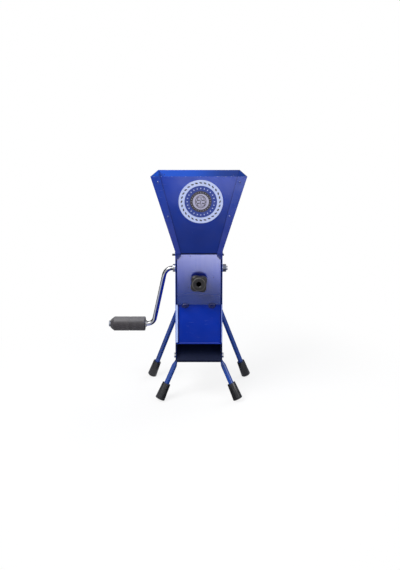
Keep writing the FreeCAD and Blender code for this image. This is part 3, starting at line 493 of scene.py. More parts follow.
def lathe(profile: Sequence[Span], frame: Matrix, closed: bool, sides: int = 96) -> bpy.types.Mesh:
    """A solid turned round the frame's Z axis.

    Args:
        profile: (radius, height) pairs: all round a ring's section, or from one pole to the other.
        frame: Where the solid's own axes go.
        closed: Whether the profile is a ring's.
        sides: Facets round the axis.

    Returns:
        The mesh.
    """
    points: list[Vector] = []
    rings: list[list[int]] = []
    for radius, height in profile:
        if radius < TINY:
            rings.append([len(points)] * sides)
            points.append(frame @ Vector((0, 0, height)))
            continue
        rings.append([len(points) + k for k in range(sides)])
        for turn in ring_angles(sides):
            points.append(frame @ Vector((radius * math.cos(turn), radius * math.sin(turn), height)))
    faces = []
    for low, high in zip(rings, rings[1:] + rings[:1] if closed else rings[1:]):
        for k in range(sides):
            after = (k + 1) % sides
            loop = [low[k], low[after], high[after], high[k]]
            face = [v for i, v in enumerate(loop) if v != loop[i - 1]]
            if len(face) > 2:
                faces.append(face)
    return mesh_of(points, faces)


def ribbon(form: bmesh.types.BMesh, line: Sequence[Span], width: float, scale: float, low: float,
           frame: Matrix) -> None:
    """Adds a flat stroke of ink to a mesh.

    Args:
        form: The mesh.
        line: The stroke's middle line in the frame's plane, before scaling.
        width: Its width, before scaling.
        scale: Metres for one unit of the line.
        low: Height of its underside in metres.
        frame: Where the plane lies.
    """
    closed = (Vector(line[0]) - Vector(line[-1])).length < JOIN
    path = [Vector(p) for p in (line[:-1] if closed else line)]
    rings = []
    for k, point in enumerate(path):
        before = path[k - 1] if k or closed else point
        after = path[(k + 1) % len(path)] if k + 1 < len(path) or closed else point
        way = (after - before).normalized()
        side = Vector((-way.y, way.x)) * width / 2
        left, right = point + side, point - side
        spots = [(left, low), (right, low), (right, low + INK), (left, low + INK)]
        rings.append([form.verts.new(frame @ Vector((p.x * scale, p.y * scale, z))) for p, z in spots])
    for ring, following in zip(rings, rings[1:] + rings[:1] if closed else rings[1:]):
        for i in range(4):
            form.faces.new((ring[i], following[i], following[(i + 1) % 4], ring[(i + 1) % 4]))
    if not closed:
        form.faces.new(rings[0])
        form.faces.new(list(reversed(rings[-1])))
    bmesh.ops.recalc_face_normals(form, faces=form.faces)


class Workshop:
    """The loaded frame, and what every sub-assembly needs to put its pieces on it."""

    def __init__(self) -> None:
        """Loads the frame and notes which body and which slot each node belongs to."""
        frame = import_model()
        self.nodes: dict[str, bpy.types.Object] = frame["nodes"]
        record = frame["record"]
        self.body_of = {n: b for b, names in record["behaviour"]["bodies"].items() for n in names}
        self.slot_of = {part["node"]: part["material_slot"] for part in record["subparts"]}
        self.cad_box = [list(corner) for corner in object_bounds()]

    def merged(self, node: str) -> bmesh.types.BMesh:
        """A joined copy of a node's loose triangles, with its flat faces made whole."""
        form = bmesh.new()
        form.from_mesh(self.nodes[node].data)
        bmesh.ops.remove_doubles(form, verts=form.verts, dist=JOIN)
        bmesh.ops.dissolve_limit(form, angle_limit=FLAT, verts=form.verts, edges=form.edges)
        return form

    def soften(self, finish: Finish, edge: float, *nodes: str, rounds: int = 2,
               shape: Callable[[bmesh.types.BMesh], None] | None = None) -> None:
        """Dresses nodes: copies with slightly rounded edges stand for them.

        Args:
            finish: Their finish.
            edge: Width of the rounding in mm; 0 leaves the edges sharp.
            nodes: The nodes' names.
            rounds: Steps in the rounding.
            shape: Changes the joined copy before its edges are rounded.
        """
        for node in nodes:
            form = self.merged(node)
            if shape is not None:
                shape(form)
            carrier = linked(node + "_carrier", mesh_from(form, finish))
            carrier.data.shade_smooth()
            if edge > 0:
                bevel = carrier.modifiers.new("edge", "BEVEL")
                bevel.width = edge * MM
                bevel.segments = rounds
                bevel.limit_method = "ANGLE"
                bevel.angle_limit = CREASE
                carrier.modifiers.new("even", "WEIGHTED_NORMAL").weight = 100
            piece = flattened(carrier, "dressed_" + node)
            if edge <= 0:
                piece.data.set_sharp_from_angle(angle=CREASE)
            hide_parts(node)
            self.fit(piece, self.body_of[node], self.slot_of[node])

    def fit(self, piece: bpy.types.Object, body: str, slot: str | None = None) -> None:
        """Lets a piece move with a body."""
        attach(piece, body)
        log.info("%s rides on %s, %d faces", piece.name, body, len(piece.data.polygons))

    def islands(self, node: str) -> list[list[Vector]]:
        """The corners of each separate solid of a node."""
        form = self.merged(node)
        seen: set[bmesh.types.BMVert] = set()
        found = []
        for start in form.verts:
            if start in seen:
                continue
            seen.add(start)
            island = [start]
            for vert in island:
                fresh = {edge.other_vert(vert): None for edge in vert.link_edges}
                island += [other for other in fresh if other not in seen]
                seen.update(fresh)
            found.append([vert.co.copy() for vert in island])
        form.free()
        return found


# Finishes ----------------------------------------------------------------------------------------


@dataclass(frozen=True)
class Covering:
    """What the surface of a piece is made of.

    Attributes:
        name: The material's name.
        tint: Its main colour.
    """

    name: str
    tint: Colour


@dataclass(frozen=True)
class Enamel(Covering):
    """Glossy blue paint on sheet or tube.

    Attributes:
        index: Refractive index of the paint, which sets how much it mirrors.
        low_tint: Its colour at the lower of the two heights, darker there as painted shade; None for the
            same.
        span: The two heights in metres between which it changes.
        gloss: Mean roughness.
        wave: Depth of the sheet's unevenness in metres.
    """

    index: float
    low_tint: Colour | None = None
    span: Span = (0.0, 1.0)
    gloss: float = 0.17
    wave: float = 0.0006

    # Colours of the marks, and the depth of the orange peel in metres.
    DUST, SCRATCH, PEEL = (0.25, 0.30, 0.50), (0.30, 0.36, 0.60), 0.000012

    def make(self) -> bpy.types.Material:
        """Builds the paint."""
        r = Recipe(self.name)
        colour: Any = self.tint
        # Towards the lower height the colour darkens: painted shade.
        if self.low_tint is not None:
            colour = r.mix(r.axis("Z").step(*self.span), self.low_tint, self.tint)
        deep = r.noise(0.11).fall(0.3, 0.7)
        dust = r.specks(0.0065, 0.075) * r.noise(0.03, 1.0, shift=3.1).step(0.50, 0.62)
        scratch = r.noise(0.0016, 1.0, (24.0, 1.0, 1.0), 5.0).step(0.70, 0.76)
        scratch = scratch * r.noise(0.05, 1.0, shift=8.0).step(0.5, 0.6)
        colour = r.layered(colour, (deep, 0.20, BLACK), (dust, 0.35, self.DUST),
                           (scratch, 0.06, self.SCRATCH))
        rough = self.gloss + 0.07 * r.noise(0.02, shift=1.0).step(0.35, 0.75) + 0.2 * scratch
        wave = r.relief(r.noise(0.055, 1.0, shift=6.0), self.wave)
        peel = r.relief(r.noise(0.0014, 1.0), self.PEEL, Normal=wave)
        return r.coat(**self.marks(r, colour, rough), Normal=peel, IOR=self.index)

    def marks(self, r: Recipe, colour: Any, rough: Any) -> dict[str, Any]:
        """Adds what only this piece's paint shows.

        Args:
            r: The material's recipe.
            colour: The plain paint's colour.
            rough: Its roughness.

        Returns:
            Inputs of the shader by name.
        """
        return {"Base_Color": colour, "Roughness": rough}


@dataclass(frozen=True)
class HopperEnamel(Enamel):
    """The hopper's paint: painted light inside, painted shadow in the laps of the strips, painted shade on
    the tabs, chipped along the rim.

    Attributes:
        inside: A brighter blue on the faces that look up: painted light inside the hopper.
        inside_gloss: Their roughness.
        rim: Height of the rim in metres.
        foot: Height of the hopper's lower end, and the strips' inner edge there, in metres.
        lean: How much further out the strips' inner edge lies for each metre of height.
    """

    inside: Colour = (0.002, 0.070, 0.49)
    inside_gloss: float = 0.06
    rim: float = 0.5328
    foot: Span = (0.352, 0.0419)
    lean: float = 0.2547

    # Colours of the marks, and the spans in metres over which they change.
    STRIP, STRIP_ABOVE, STRIP_SPAN = (0.040, 0.056, 0.285), (0.004, 0.032, 0.27), (0.38, 0.50)
    # Painted shadow along the strips' inner edges, then painted shade on the tabs.
    LAP, TAB = (0.0005, 0.003, 0.045), (0.001, 0.009, 0.085)
    # Painted shade on the right half of the inside, and the colour of the chips.
    SHADED, SHADED_SPAN, CHIP = (0.0, 0.004, 0.04), (-0.03, 0.08), (0.40, 0.46, 0.66)

    def marks(self, r: Recipe, colour: Any, rough: Any) -> dict[str, Any]:
        """Adds the painted light inside with painted shade on its right half, the strips with painted shadow
        in their laps, painted shade on the tabs and the chips.
        """
        height, edge = self.foot
        beyond = abs(r.axis("X")) - (r.axis("Z") - height) * self.lean - edge
        flat = abs(r.facing("Y")).step(0.6, 0.8)
        strip = r.mix(r.axis("Z").step(*self.STRIP_SPAN), self.STRIP, self.STRIP_ABOVE)
        # A painted shadow line along each strip's inner edge.
        lap = abs(beyond + 0.0005).fall(0.0003, 0.0014)
        # Painted shade on the tabs below the hopper's foot.
        tab = r.axis("Z").fall(height - 0.0008, height + 0.0006)
        colour = r.layered(colour, (flat * beyond.step(0.0, 0.0005), 0.5, strip),
                           (flat * lap, 0.35, self.LAP), (flat * tab, 0.6, self.TAB))
        # The faces that look up take a brighter blue: painted light inside the hopper, with painted shade on
        # its right half.
        up = r.facing("Z").step(0.05, 0.2)
        shaded = r.axis("X").step(*self.SHADED_SPAN) * 0.58
        worn = r.axis("Z").step(self.rim - 0.0012, self.rim) * r.noise(0.004, shift=4.0).step(0.60, 0.66)
        colour = r.layered(colour, (up, 1.0, r.mix(shaded, self.inside, self.SHADED)), (worn, 0.5, self.CHIP))
        return {"Base_Color": colour, "Roughness": rough * (1 - up) + up * self.inside_gloss + 0.15 * worn}


@dataclass(frozen=True)
class WallEnamel(Enamel):
    """The walls' paint: painted light on the side faces, painted highlights over the front folds, painted
    shadow in the gaps and painted shade round the outlet.

    Attributes:
        fold: How strong the painted highlight over the folds is.
        panel: Heights of the lower panel's edges in metres.
        right: How much further out the folds and gaps lie on the right, in metres.
        soft: Half the width of the panel's soft edges in metres.
    """

    fold: float = 0.85
    panel: Span = (0.1370, 0.2300)
    right: float = 0.0036
    soft: float = 0.0005

    # Colours of the marks: painted light, painted highlights, painted shadow and painted shade; and the spans
    # in metres, across and forward, over which they come and go.
    FLANK, THIN, GAP = (0.0025, 0.055, 0.50), (0.40, 0.50, 0.80), (0.0004, 0.002, 0.060)
    LIP, MOUTH = (0.30, 0.36, 0.62), (0.0015, 0.003, 0.018)
    MIDDLE = (-0.01, 0.01)
    FOLD_OUT, FOLD_FORWARD = (0.0491, 0.0503), (0.0570, 0.0576)
    GAP_RISE, GAP_FALL, GAP_FORWARD = (0.0460, 0.0471), (0.0486, 0.0492), (0.0500, 0.0540)
    LIP_FALL, MOUTH_FORWARD = (0.046, 0.048), (0.0480, 0.0530)

    def marks(self, r: Recipe, colour: Any, rough: Any) -> dict[str, Any]:
        """Adds painted light on the side faces, painted highlights on the folds and along the panel's lower
        edge, painted shadow in the gaps beside the panel and painted shade in the outlet.
        """
        low, high = self.panel
        across = abs(r.axis("X")) - self.right * r.axis("X").step(*self.MIDDLE)
        front = 0 - r.axis("Y")
        level = r.axis("Z").between((low - self.soft, low + self.soft), (high - self.soft, high + self.soft))
        # The side faces take a brighter blue: painted light.
        flank = abs(r.facing("X")).step(0.6, 0.9)
        # Painted highlight over the front folds, brighter on the left than on the right.
        side = 0.85 + 0.15 * (0 - r.axis("X")).step(*self.MIDDLE)
        thin = across.step(*self.FOLD_OUT) * front.step(*self.FOLD_FORWARD) * side * level
        # Painted shadow in the gaps beside the lower panel.
        gap = across.between(self.GAP_RISE, self.GAP_FALL) * front.step(*self.GAP_FORWARD) * level
        # A painted highlight along the lower panel's lower edge.
        lip = abs(r.axis("Z") - low).fall(0.0003, 0.0012)
        lip = lip * front.step(*self.GAP_FORWARD) * across.fall(*self.LIP_FALL)
        # Painted shade in the outlet below the panel.
        mouth = front.step(*self.MOUTH_FORWARD) * r.axis("Z").fall(low - 0.0030, low - 0.0010)
        colour = r.layered(colour, (flank, 0.8, self.FLANK), (thin, self.fold, self.THIN),
                           (gap, 0.85, self.GAP), (lip, 0.06, self.LIP), (mouth, 0.9, self.MOUTH))
        return {"Base_Color": colour, "Roughness": rough + 0.2 * mouth}


@dataclass(frozen=True)
class CoverEnamel(Enamel):
    """The cover's paint: a streaked varnish on the face with pale dust and a painted sheen towards the top,
    painted shade round the edges and a painted shadow round the knob.

    Attributes:
        haze: Share of pale dust and painted sheen near the upper of the two heights.
        heights: Where the dust and sheen start and where they are fullest, in metres.
        half: Half the face's width in metres.
        varnish: Refractive index of the varnish.
        boss: Height of the middle of the painted shadow round the screw, in metres.
        patch: Radii between which the patch fades, in metres.
    """

    haze: float = 0.10
    heights: Span = (0.25, 0.37)
    half: float = 0.0500
    varnish: float = 2.55
    boss: float = 0.2905
    patch: Span = (0.0165, 0.0215)

    # Colours of the marks: dust with painted sheen, painted shade, painted shadow and spots.
    FILM, EDGE = (0.42, 0.44, 0.72), (0.0004, 0.005, 0.055)
    OIL, SPOT = (0.0004, 0.002, 0.075), (0.004, 0.010, 0.060)

    def marks(self, r: Recipe, colour: Any, rough: Any) -> dict[str, Any]:
        """Adds the dust with its streaks and spots and a painted sheen, the painted shade round the edges,
        the painted shadow round the knob, and where the varnish lies.
        """
        streak = r.noise(0.005, 2.0, (1.0, 1.0, 16.0), 2.0)
        # Paler towards the top: dust with streaks, and a painted sheen.
        film = r.axis("Z").step(*self.heights) * (0.4 + 0.7 * streak + 0.5 * r.noise(0.03, 3.0, shift=2.0))
        # Round the face, the edges take a dark colour: painted shade.
        face = abs(r.axis("X")).fall(self.half, self.half + 0.0015)
        # A dark patch round the knob, seen above it: painted shadow.
        oil = r.out_from(self.boss).fall(*self.patch) * (0.75 + 0.5 * r.noise(0.006, shift=5.0))
        spot = r.specks(0.013, 0.15) * r.noise(0.05, 1.0, shift=9.0).step(0.48, 0.56)
        colour = r.layered(colour, (film, self.haze, self.FILM), (1 - face, 1.0, self.EDGE),
                           (oil, 0.85, self.OIL), (spot, 0.75, self.SPOT))
        coated = face * (1 - 0.6 * spot) * (1 - 0.7 * oil)
        return {"Base_Color": colour, "Roughness": rough + 0.3 * (1 - face), "Coat_Weight": coated,
                "Coat_Roughness": self.gloss, "Coat_IOR": self.varnish}


@dataclass(frozen=True)
class Plate(Covering):
    """Bare or plated metal.

    Attributes:
        stain: The colour of its dull patches.
        gloss: Roughness of the clean metal.
        dull: Added roughness in the patches.
        grain: Depth of the tool marks in metres.
        along: How the marks are stretched.
        bent: How strongly the bar's sides take painted reflections of the body's blue and the dark room.
    """

    stain: Colour
    gloss: float
    dull: float
    grain: float = 0.000004
    along: Triple = (1.0, 1.0, 1.0)
    bent: float = 0.0

    # Painted reflections on the bar: the body, the room, and the haze on its arm between two spans of height.
    BODY, ROOM, HAZE = (0.06, 0.12, 0.55), (0.07, 0.072, 0.080), (0.34, 0.36, 0.42)
    ARM = ((0.165, 0.185), (0.268, 0.288))

    def make(self) -> bpy.types.Material:
        """Builds the metal."""
        r = Recipe(self.name)
        patch = r.noise(0.007, 3.0).step(0.42, 0.72)
        colour = r.layered(self.tint, (patch, 0.6, self.stain))
        # Colour set by the facing direction: painted reflections of the blue body and the dark room.
        if self.bent > 0:
            arm = r.axis("Z").between(*self.ARM)
            toward = (r.facing("X") - 0.35 * r.facing("Z") + 0.45 * arm).step(-0.15, 0.35)
            outward = (r.facing("Z") - r.facing("X") - 0.12 * arm).step(0.55, 0.90)
            colour = r.layered(colour, (toward, self.bent, self.BODY),
                               (outward, self.bent, r.mix(arm, self.ROOM, self.HAZE)))
        inputs = {"Base_Color": colour, "Roughness": self.gloss + self.dull * patch, "Metallic": 1.0}
        if self.grain > 0:
            inputs["Normal"] = r.relief(r.noise(0.0006, 2.0, self.along, 2.0), self.grain)
        return r.coat(**inputs)


@dataclass(frozen=True)
class Rubber(Covering):
    """Moulded rubber or plastic.

    Attributes:
        dusty: The colour where dust lies.
        gloss: Mean roughness.
        pebble: Size of the surface grain in metres.
        depth: Depth of the grain in metres.
        index: Refractive index.
        along: How the grain is stretched.
        settled: Share of pale colour on the faces that look up: dust, with a painted highlight.
    """

    dusty: Colour
    gloss: float
    pebble: float
    depth: float
    index: float
    along: Triple = (1.0, 1.0, 1.0)
    settled: float = 0.0

    # The pale colour of the faces that look up: dust, with a painted highlight.
    DUST = (0.24, 0.235, 0.24)

    def make(self) -> bpy.types.Material:
        """Builds the moulding."""
        r = Recipe(self.name)
        film = r.noise(0.012, 3.0, self.along).step(0.40, 0.75)
        colour = self.marks(r, r.layered(self.tint, (film, 0.5, self.dusty)))
        # Paler faces that look up: dust, with a painted highlight.
        if self.settled > 0:
            top = r.facing("Z").step(0.45, 0.90) * (0.7 + 0.6 * r.noise(0.0022, 2.0, self.along, 7.0))
            colour = r.layered(colour, (top, self.settled, self.DUST))
        grain = r.relief(r.noise(self.pebble, 2.0, self.along, 1.5), self.depth)
        return r.coat(Base_Color=colour, Roughness=self.gloss + 0.12 * film, IOR=self.index, Normal=grain)

    def marks(self, r: Recipe, colour: Signal) -> Signal:
        """The colour with what only this piece shows."""
        return colour


@dataclass(frozen=True)
class KnobMoulding(Rubber):
    """The knob's plastic: a paler ring round the raised face, from rubbing and a painted highlight, and
    painted shade in its middle.

    Attributes:
        centre: Height of the knob's middle in metres.
        ring: Radius of the paler ring in metres.
        hollow: Radii between which the painted shade in the recess fades, in metres.
    """

    centre: float = 0.285
    ring: float = 0.0146
    hollow: Span = (0.0045, 0.0080)

    RUBBED, GRIME = (0.16, 0.15, 0.14), (0.003, 0.003, 0.004)

    def marks(self, r: Recipe, colour: Signal) -> Signal:
        """Adds the paler ring with its painted highlight, and the painted shade in the recess."""
        out = r.out_from(self.centre)
        # A paler ring round the raised face: rubbing, with a painted highlight.
        rubbed = abs(out - self.ring).fall(0.0004, 0.0013) * (0.4 + r.noise(0.009, 1.0, shift=3.0))
        # Darker in the recess: painted shade.
        return r.layered(colour, (rubbed, 0.5, self.RUBBED), (out.fall(*self.hollow), 0.85, self.GRIME))


@dataclass(frozen=True)
class Ink(Covering):
    """A flat print colour on the label, under a thin varnish."""

    def make(self) -> bpy.types.Material:
        """Builds the print."""
        r = Recipe(self.name)
        worn = r.noise(0.004, 3.0).step(0.45, 0.8)
        faded = tuple(0.5 * c + 0.2 for c in self.tint)
        return r.coat(Base_Color=r.layered(self.tint, (worn, 0.15, faded)), Roughness=0.32, IOR=1.45)


class Finish(Enum):
    """Every finish on the machine."""

    # The hopper darkens towards its lower height: painted shade.
    HOPPER = HopperEnamel("hopper_enamel", (0.0020, 0.032, 0.330), 1.4, (0.0085, 0.024, 0.178), (0.38, 0.53),
                          gloss=0.13)
    WALL = WallEnamel("wall_enamel", (0.0008, 0.025, 0.338), 1.4)
    # The cover darkens towards its lower height: painted shade.
    COVER = CoverEnamel("cover_enamel", (0.0020, 0.036, 0.46), 1.15, (0.0020, 0.026, 0.21), (0.23, 0.34),
                        gloss=0.2)
    RIVET = Enamel("rivet_enamel", (0.012, 0.040, 0.26), 1.9, gloss=0.12)
    WELD = Enamel("weld_enamel", (0.0005, 0.006, 0.085), 1.5, gloss=0.10)
    LEG = Enamel("leg_enamel", (0.0080, 0.051, 0.29), 1.7, gloss=0.12, wave=0.0001)
    CHUTE = Enamel("chute_enamel", (0.0032, 0.0068, 0.030), 1.25, gloss=0.5)
    # The bar's colour carries painted reflections.
    CHROME = Plate("plated_bar", (0.80, 0.81, 0.83), (0.74, 0.75, 0.78), 0.06, 0.03, grain=0.0, bent=0.9)
    ZINC = Plate("zinc_plating", (0.64, 0.65, 0.66), (0.50, 0.49, 0.44), 0.26, 0.14)
    BLUED = Plate("blued_nut", (0.24, 0.26, 0.31), (0.10, 0.10, 0.11), 0.30, 0.15)
    DARK = Plate("dark_steel", (0.10, 0.10, 0.105), (0.05, 0.045, 0.04), 0.40, 0.15)
    STEEL = Plate("machined_steel", (0.46, 0.46, 0.47), (0.26, 0.23, 0.19), 0.30, 0.18,
                  grain=0.00001, along=(40.0, 1.0, 1.0))
    BRONZE = Plate("oiled_bronze", (0.60, 0.42, 0.20), (0.36, 0.24, 0.11), 0.28, 0.12)
    FOOT = Rubber("moulded_foot", (0.014, 0.014, 0.016), (0.032, 0.031, 0.033), 0.20,
                  pebble=0.0011, depth=0.00003, index=1.6)
    # The grip's upper faces are paler: dust, with a painted highlight.
    GRIP = Rubber("ribbed_grip", (0.038, 0.034, 0.038), (0.064, 0.060, 0.064), 0.46,
                  pebble=0.0012, depth=0.00016, index=1.4, along=(1.0, 18.0, 18.0), settled=0.5)
    KNOB = KnobMoulding("knob_moulding", (0.013, 0.012, 0.013), (0.028, 0.026, 0.026), 0.38,
                        pebble=0.0008, depth=0.000015, index=1.45)
    PAPER = Ink("label_pale", (0.42, 0.48, 0.72))
    BAND = Ink("label_blue", (0.012, 0.034, 0.235))
    SOOT = Ink("label_dark", (0.030, 0.026, 0.030))
    SHELL = Ink("label_shell", (0.34, 0.33, 0.46))

    @property
    def material(self) -> bpy.types.Material:
        """The finish's material, made on first use."""
        return bpy.data.materials.get(self.value.name) or self.value.make()


# Sub-assemblies ----------------------------------------------------------------------------------


@dataclass
class Assembly:
    """Pieces that belong together.

    Attributes:
        shop: Where the pieces are fitted.
    """

    shop: Workshop


@dataclass
class Body(Assembly):
    """The box of sheet metal: walls, plates, cover, chute and the bolts that hold them.

    Attributes:
        drop: A weld's length, width, height, lumps and the size of the lumps, in mm.
        seam: Y and Z of a weld's middle in mm.
    """

    drop: tuple[float, float, float, float, float] = (18.0, 14.5, 11.5, 8.0, 4.2)
    seam: Span = (-58.6, 228.2)

    def dress(self) -> None:
        """Makes the body's pieces."""
        soften = self.shop.soften
        soften(Finish.WALL, 0.35, "side_wall_left", "side_wall_right", "back_wall", "lower_front_panel")
        soften(Finish.COVER, 0.35, "front_cover")
        soften(Finish.WELD, 0, "cover_welds")
        self.welds()
        soften(Finish.CHUTE, 0.35, "chute_floor", "feed_guide")
        soften(Finish.ZINC, 0.3, "skirt_bolts")
        soften(Finish.DARK, 0.3, "hinge_rod")
        soften(Finish.BRONZE, 0.25, "shaft_bush_left", "shaft_bush_right")

    def welds(self) -> None:
        """A lumpy drop over each of the two weld beads."""
        y, z = (value * MM for value in self.seam)
        points = []
        for island in self.shop.islands("cover_welds"):
            places = [v.x for v in island]
            points.append(((min(places) + max(places)) / 2, y, z))
        length, width, height, lumps, grain = (value * MM for value in self.drop)
        mesh = set_points(points, [(0, -1, 0.1)] * len(points), [(1, 0, 0.06)] * len(points))
        piece = weld_jig().make("weld_drops", mesh, Finish.WELD, Length=length, Width=width, Height=height,
                                Lumps=lumps, Grain=grain)
        self.shop.fit(piece, "frame", "body_paint")


@dataclass(frozen=True)
class MarkRow:
    """A ring of printed marks.

    Attributes:
        name: The piece's name.
        count: How many marks there are.
        sides: A mark's corners.
        length: A mark's length in mm.
        width: A mark's width in mm.
        top: Height of the marks' upper faces over the panel in mm.
        finish: Their ink.
        tangent: Whether they lie along the ring instead of across it.
    """

    name: str
    count: int
    sides: int
    length: float
    width: float
    top: float
    finish: Finish
    tangent: bool = False

    SLANT = 0.35

    def make(self, jig: Jig, frame: Matrix, radius: float) -> bpy.types.Object:
        """Lays the marks out.

        Args:
            jig: What sets a mark on every point.
            frame: The label's own axes.
            radius: The ring's radius in mm.

        Returns:
            The marks as one piece.
        """
        points, alongs = [], []
        for turn in ring_angles(self.count):
            ray = Vector((math.cos(turn), math.sin(turn), 0))
            way = Vector((-ray.y, ray.x, 0)) + ray * self.SLANT if self.tangent else ray
            points.append(frame @ (ray * radius * MM + Vector((0, 0, self.top * MM - INK / 2))))
            alongs.append(frame.to_3x3() @ way)
        outs = [frame.to_3x3() @ Vector((0, 0, 1))] * self.count
        return jig.make(self.name, set_points(points, outs, alongs), self.finish, Sides=self.sides,
                        Length=self.length * MM, Width=self.width * MM, Height=INK)


@dataclass
class Hopper(Assembly):
    """The flared hopper of four riveted panels.

    Attributes:
        head: A rivet head's radius in mm.
        dome: Its height in mm.
        shank: The shank's radius in mm.
        stack: Thickness of the two sheets that the rivet holds, in mm.
        label_centre: X and Z of the label's middle in mm; its depth is read from the panel.
        radii: The label's outer edge, band, ring and disc in mm.
        films: Heights over the panel in mm of the paper, and of the disc, the band and the ring on it.
    """

    head: float = 2.6
    dome: float = 1.5
    shank: float = 1.3
    stack: float = 3.0
    label_centre: Span = (4.4, 474.6)
    radii: tuple[float, float, float, float] = (50.8, 37.3, 25.0, 18.5)
    films: tuple[float, float, float] = (0.10, 0.12, 0.13)

    KERNELS = MarkRow("label_kernels", 28, 12, 7.0, 3.4, 0.115, Finish.SOOT, tangent=True)
    CHEVRONS = MarkRow("label_chevrons", 24, 3, 4.6, 3.2, 0.145, Finish.PAPER)
    TICKS = MarkRow("label_ticks", 24, 4, 3.2, 1.0, 0.145, Finish.SHELL)
    # The walnut in shares of the disc: the shell's half width and height, the middle wall, each fold's two
    # heights and bulge, every fold's start, fullness, ripple and waves, and the strokes' width.
    SHELL = (0.66, 0.78)
    WALL = [(0.0, 0.66), (0.05, 0.3), (-0.05, -0.1), (0.04, -0.4), (0.0, -0.66)]
    FOLDS = ((0.12, 0.60, 0.30), (-0.26, 0.22, 0.46), (-0.58, -0.14, 0.34))
    FOLD = (0.13, 0.7, 0.04, 9)
    STROKE = 0.075

    def dress(self) -> None:
        """Makes the hopper's pieces."""
        self.shop.soften(Finish.HOPPER, 0.45, "hopper_side_left", "hopper_side_right", "hopper_front_panel",
                         "hopper_back_panel")
        self.rivets()
        self.label()

    def rivets(self) -> None:
        """Domed rivets where the source has them, facing out of the panel they sit on."""
        normals = {side: self.panel_frame(node, side).col[2].to_3d()
                   for side, node in ((-1, "hopper_front_panel"), (1, "hopper_back_panel"))}
        points, outs = [], []
        for island in self.shop.islands("hopper_rivets"):
            normal = normals[-1 if sum(v.y for v in island) < 0 else 1]
            reach = max(v.dot(normal) for v in island)
            far = [v for v in island if v.dot(normal) > reach - 0.2 * MM]
            points.append(sum(far, Vector()) / len(far) - normal * self.dome * MM)
            outs.append(normal)
        mesh = set_points(points, outs, [(1, 0, 0)] * len(points))
        piece = rivet_jig().make("dressed_hopper_rivets", mesh, Finish.RIVET, Head_radius=self.head * MM,
                                 Dome_height=self.dome * MM, Shank_radius=self.shank * MM,
                                 Shank_length=self.stack * MM)
        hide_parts("hopper_rivets")
        self.shop.fit(piece, "frame", "body_paint")

    def panel_frame(self, node: str, side: int) -> Matrix:
        """The frame of a panel's outer face.

        Args:
            node: The panel's node.
            side: -1 for the front, 1 for the back.

        Returns:
            X to the right and Z outwards, with the origin level with the label.
        """
        form = self.shop.merged(node)
        face = max((f for f in form.faces if f.normal.y * side > 0.5), key=lambda f: f.calc_area())
        normal, on_face = face.normal.copy(), face.calc_center_median()
        form.free()
        x, z = (c * MM for c in self.label_centre)
        y = on_face.y - ((x - on_face.x) * normal.x + (z - on_face.z) * normal.z) / normal.y
        across = Vector((1, 0, 0))
        frame = Matrix((across, normal.cross(across), normal)).transposed().to_4x4()
        frame.translation = (x, y, z)
        return frame

    def label(self) -> None:
        """The round label: a pale ring, a blue band, a dark ring and a disc with half a walnut."""
        frame = self.panel_frame("hopper_front_panel", -1)
        outer, band, ring, disc = self.radii
        paper, middle, print_top = self.films
        layers = [("label_disc", 0.0, outer, 0.0, paper, Finish.PAPER),
                  ("label_band", ring, band, paper, print_top, Finish.BAND),
                  ("label_ring", disc, ring, paper, print_top, Finish.SOOT),
                  ("label_centre", 0.0, disc, paper, middle, Finish.SHELL)]
        for name, inner, reach, low, high, finish in layers:
            section = [(inner, low), (reach, low), (reach, high), (inner, high)]
            mesh = lathe([(out * MM, height * MM) for out, height in section], frame, closed=inner > 0)
            mesh.materials.append(finish.material)
            self.shop.fit(linked(name, mesh), "frame")
        jig = mark_jig()
        for row, out, within in zip((self.KERNELS, self.CHEVRONS, self.TICKS), self.radii, self.radii[1:]):
            self.shop.fit(row.make(jig, frame, (out + within) / 2), "frame")
        self.walnut(frame, disc)

    def walnut(self, frame: Matrix, disc: float) -> None:
        """Half a walnut in outline: shell, middle wall and the folds of the kernel.

        Args:
            frame: The label's own axes.
            disc: Radius of the disc that it lies on in mm.
        """
        wide, tall = self.SHELL
        shell = [(wide * math.cos(t), tall * math.sin(t)) for t in ring_angles(40)]
        strokes = [[*shell, shell[0]], self.WALL]
        start, full, ripple, waves = self.FOLD
        for side in (-1, 1):
            for low, high, bulge in self.FOLDS:
                line = []
                for t in (k / 10 for k in range(11)):
                    out = start + bulge * math.sin(math.pi * t) ** full + ripple * math.sin(waves * t)
                    line.append((side * out, low + (high - low) * t))
                strokes.append(line)
        form = bmesh.new()
        for line in strokes:
            ribbon(form, line, self.STROKE, disc * MM, 0.125 * MM, frame)
        self.shop.fit(linked("label_walnut", mesh_from(form, Finish.SOOT)), "frame")


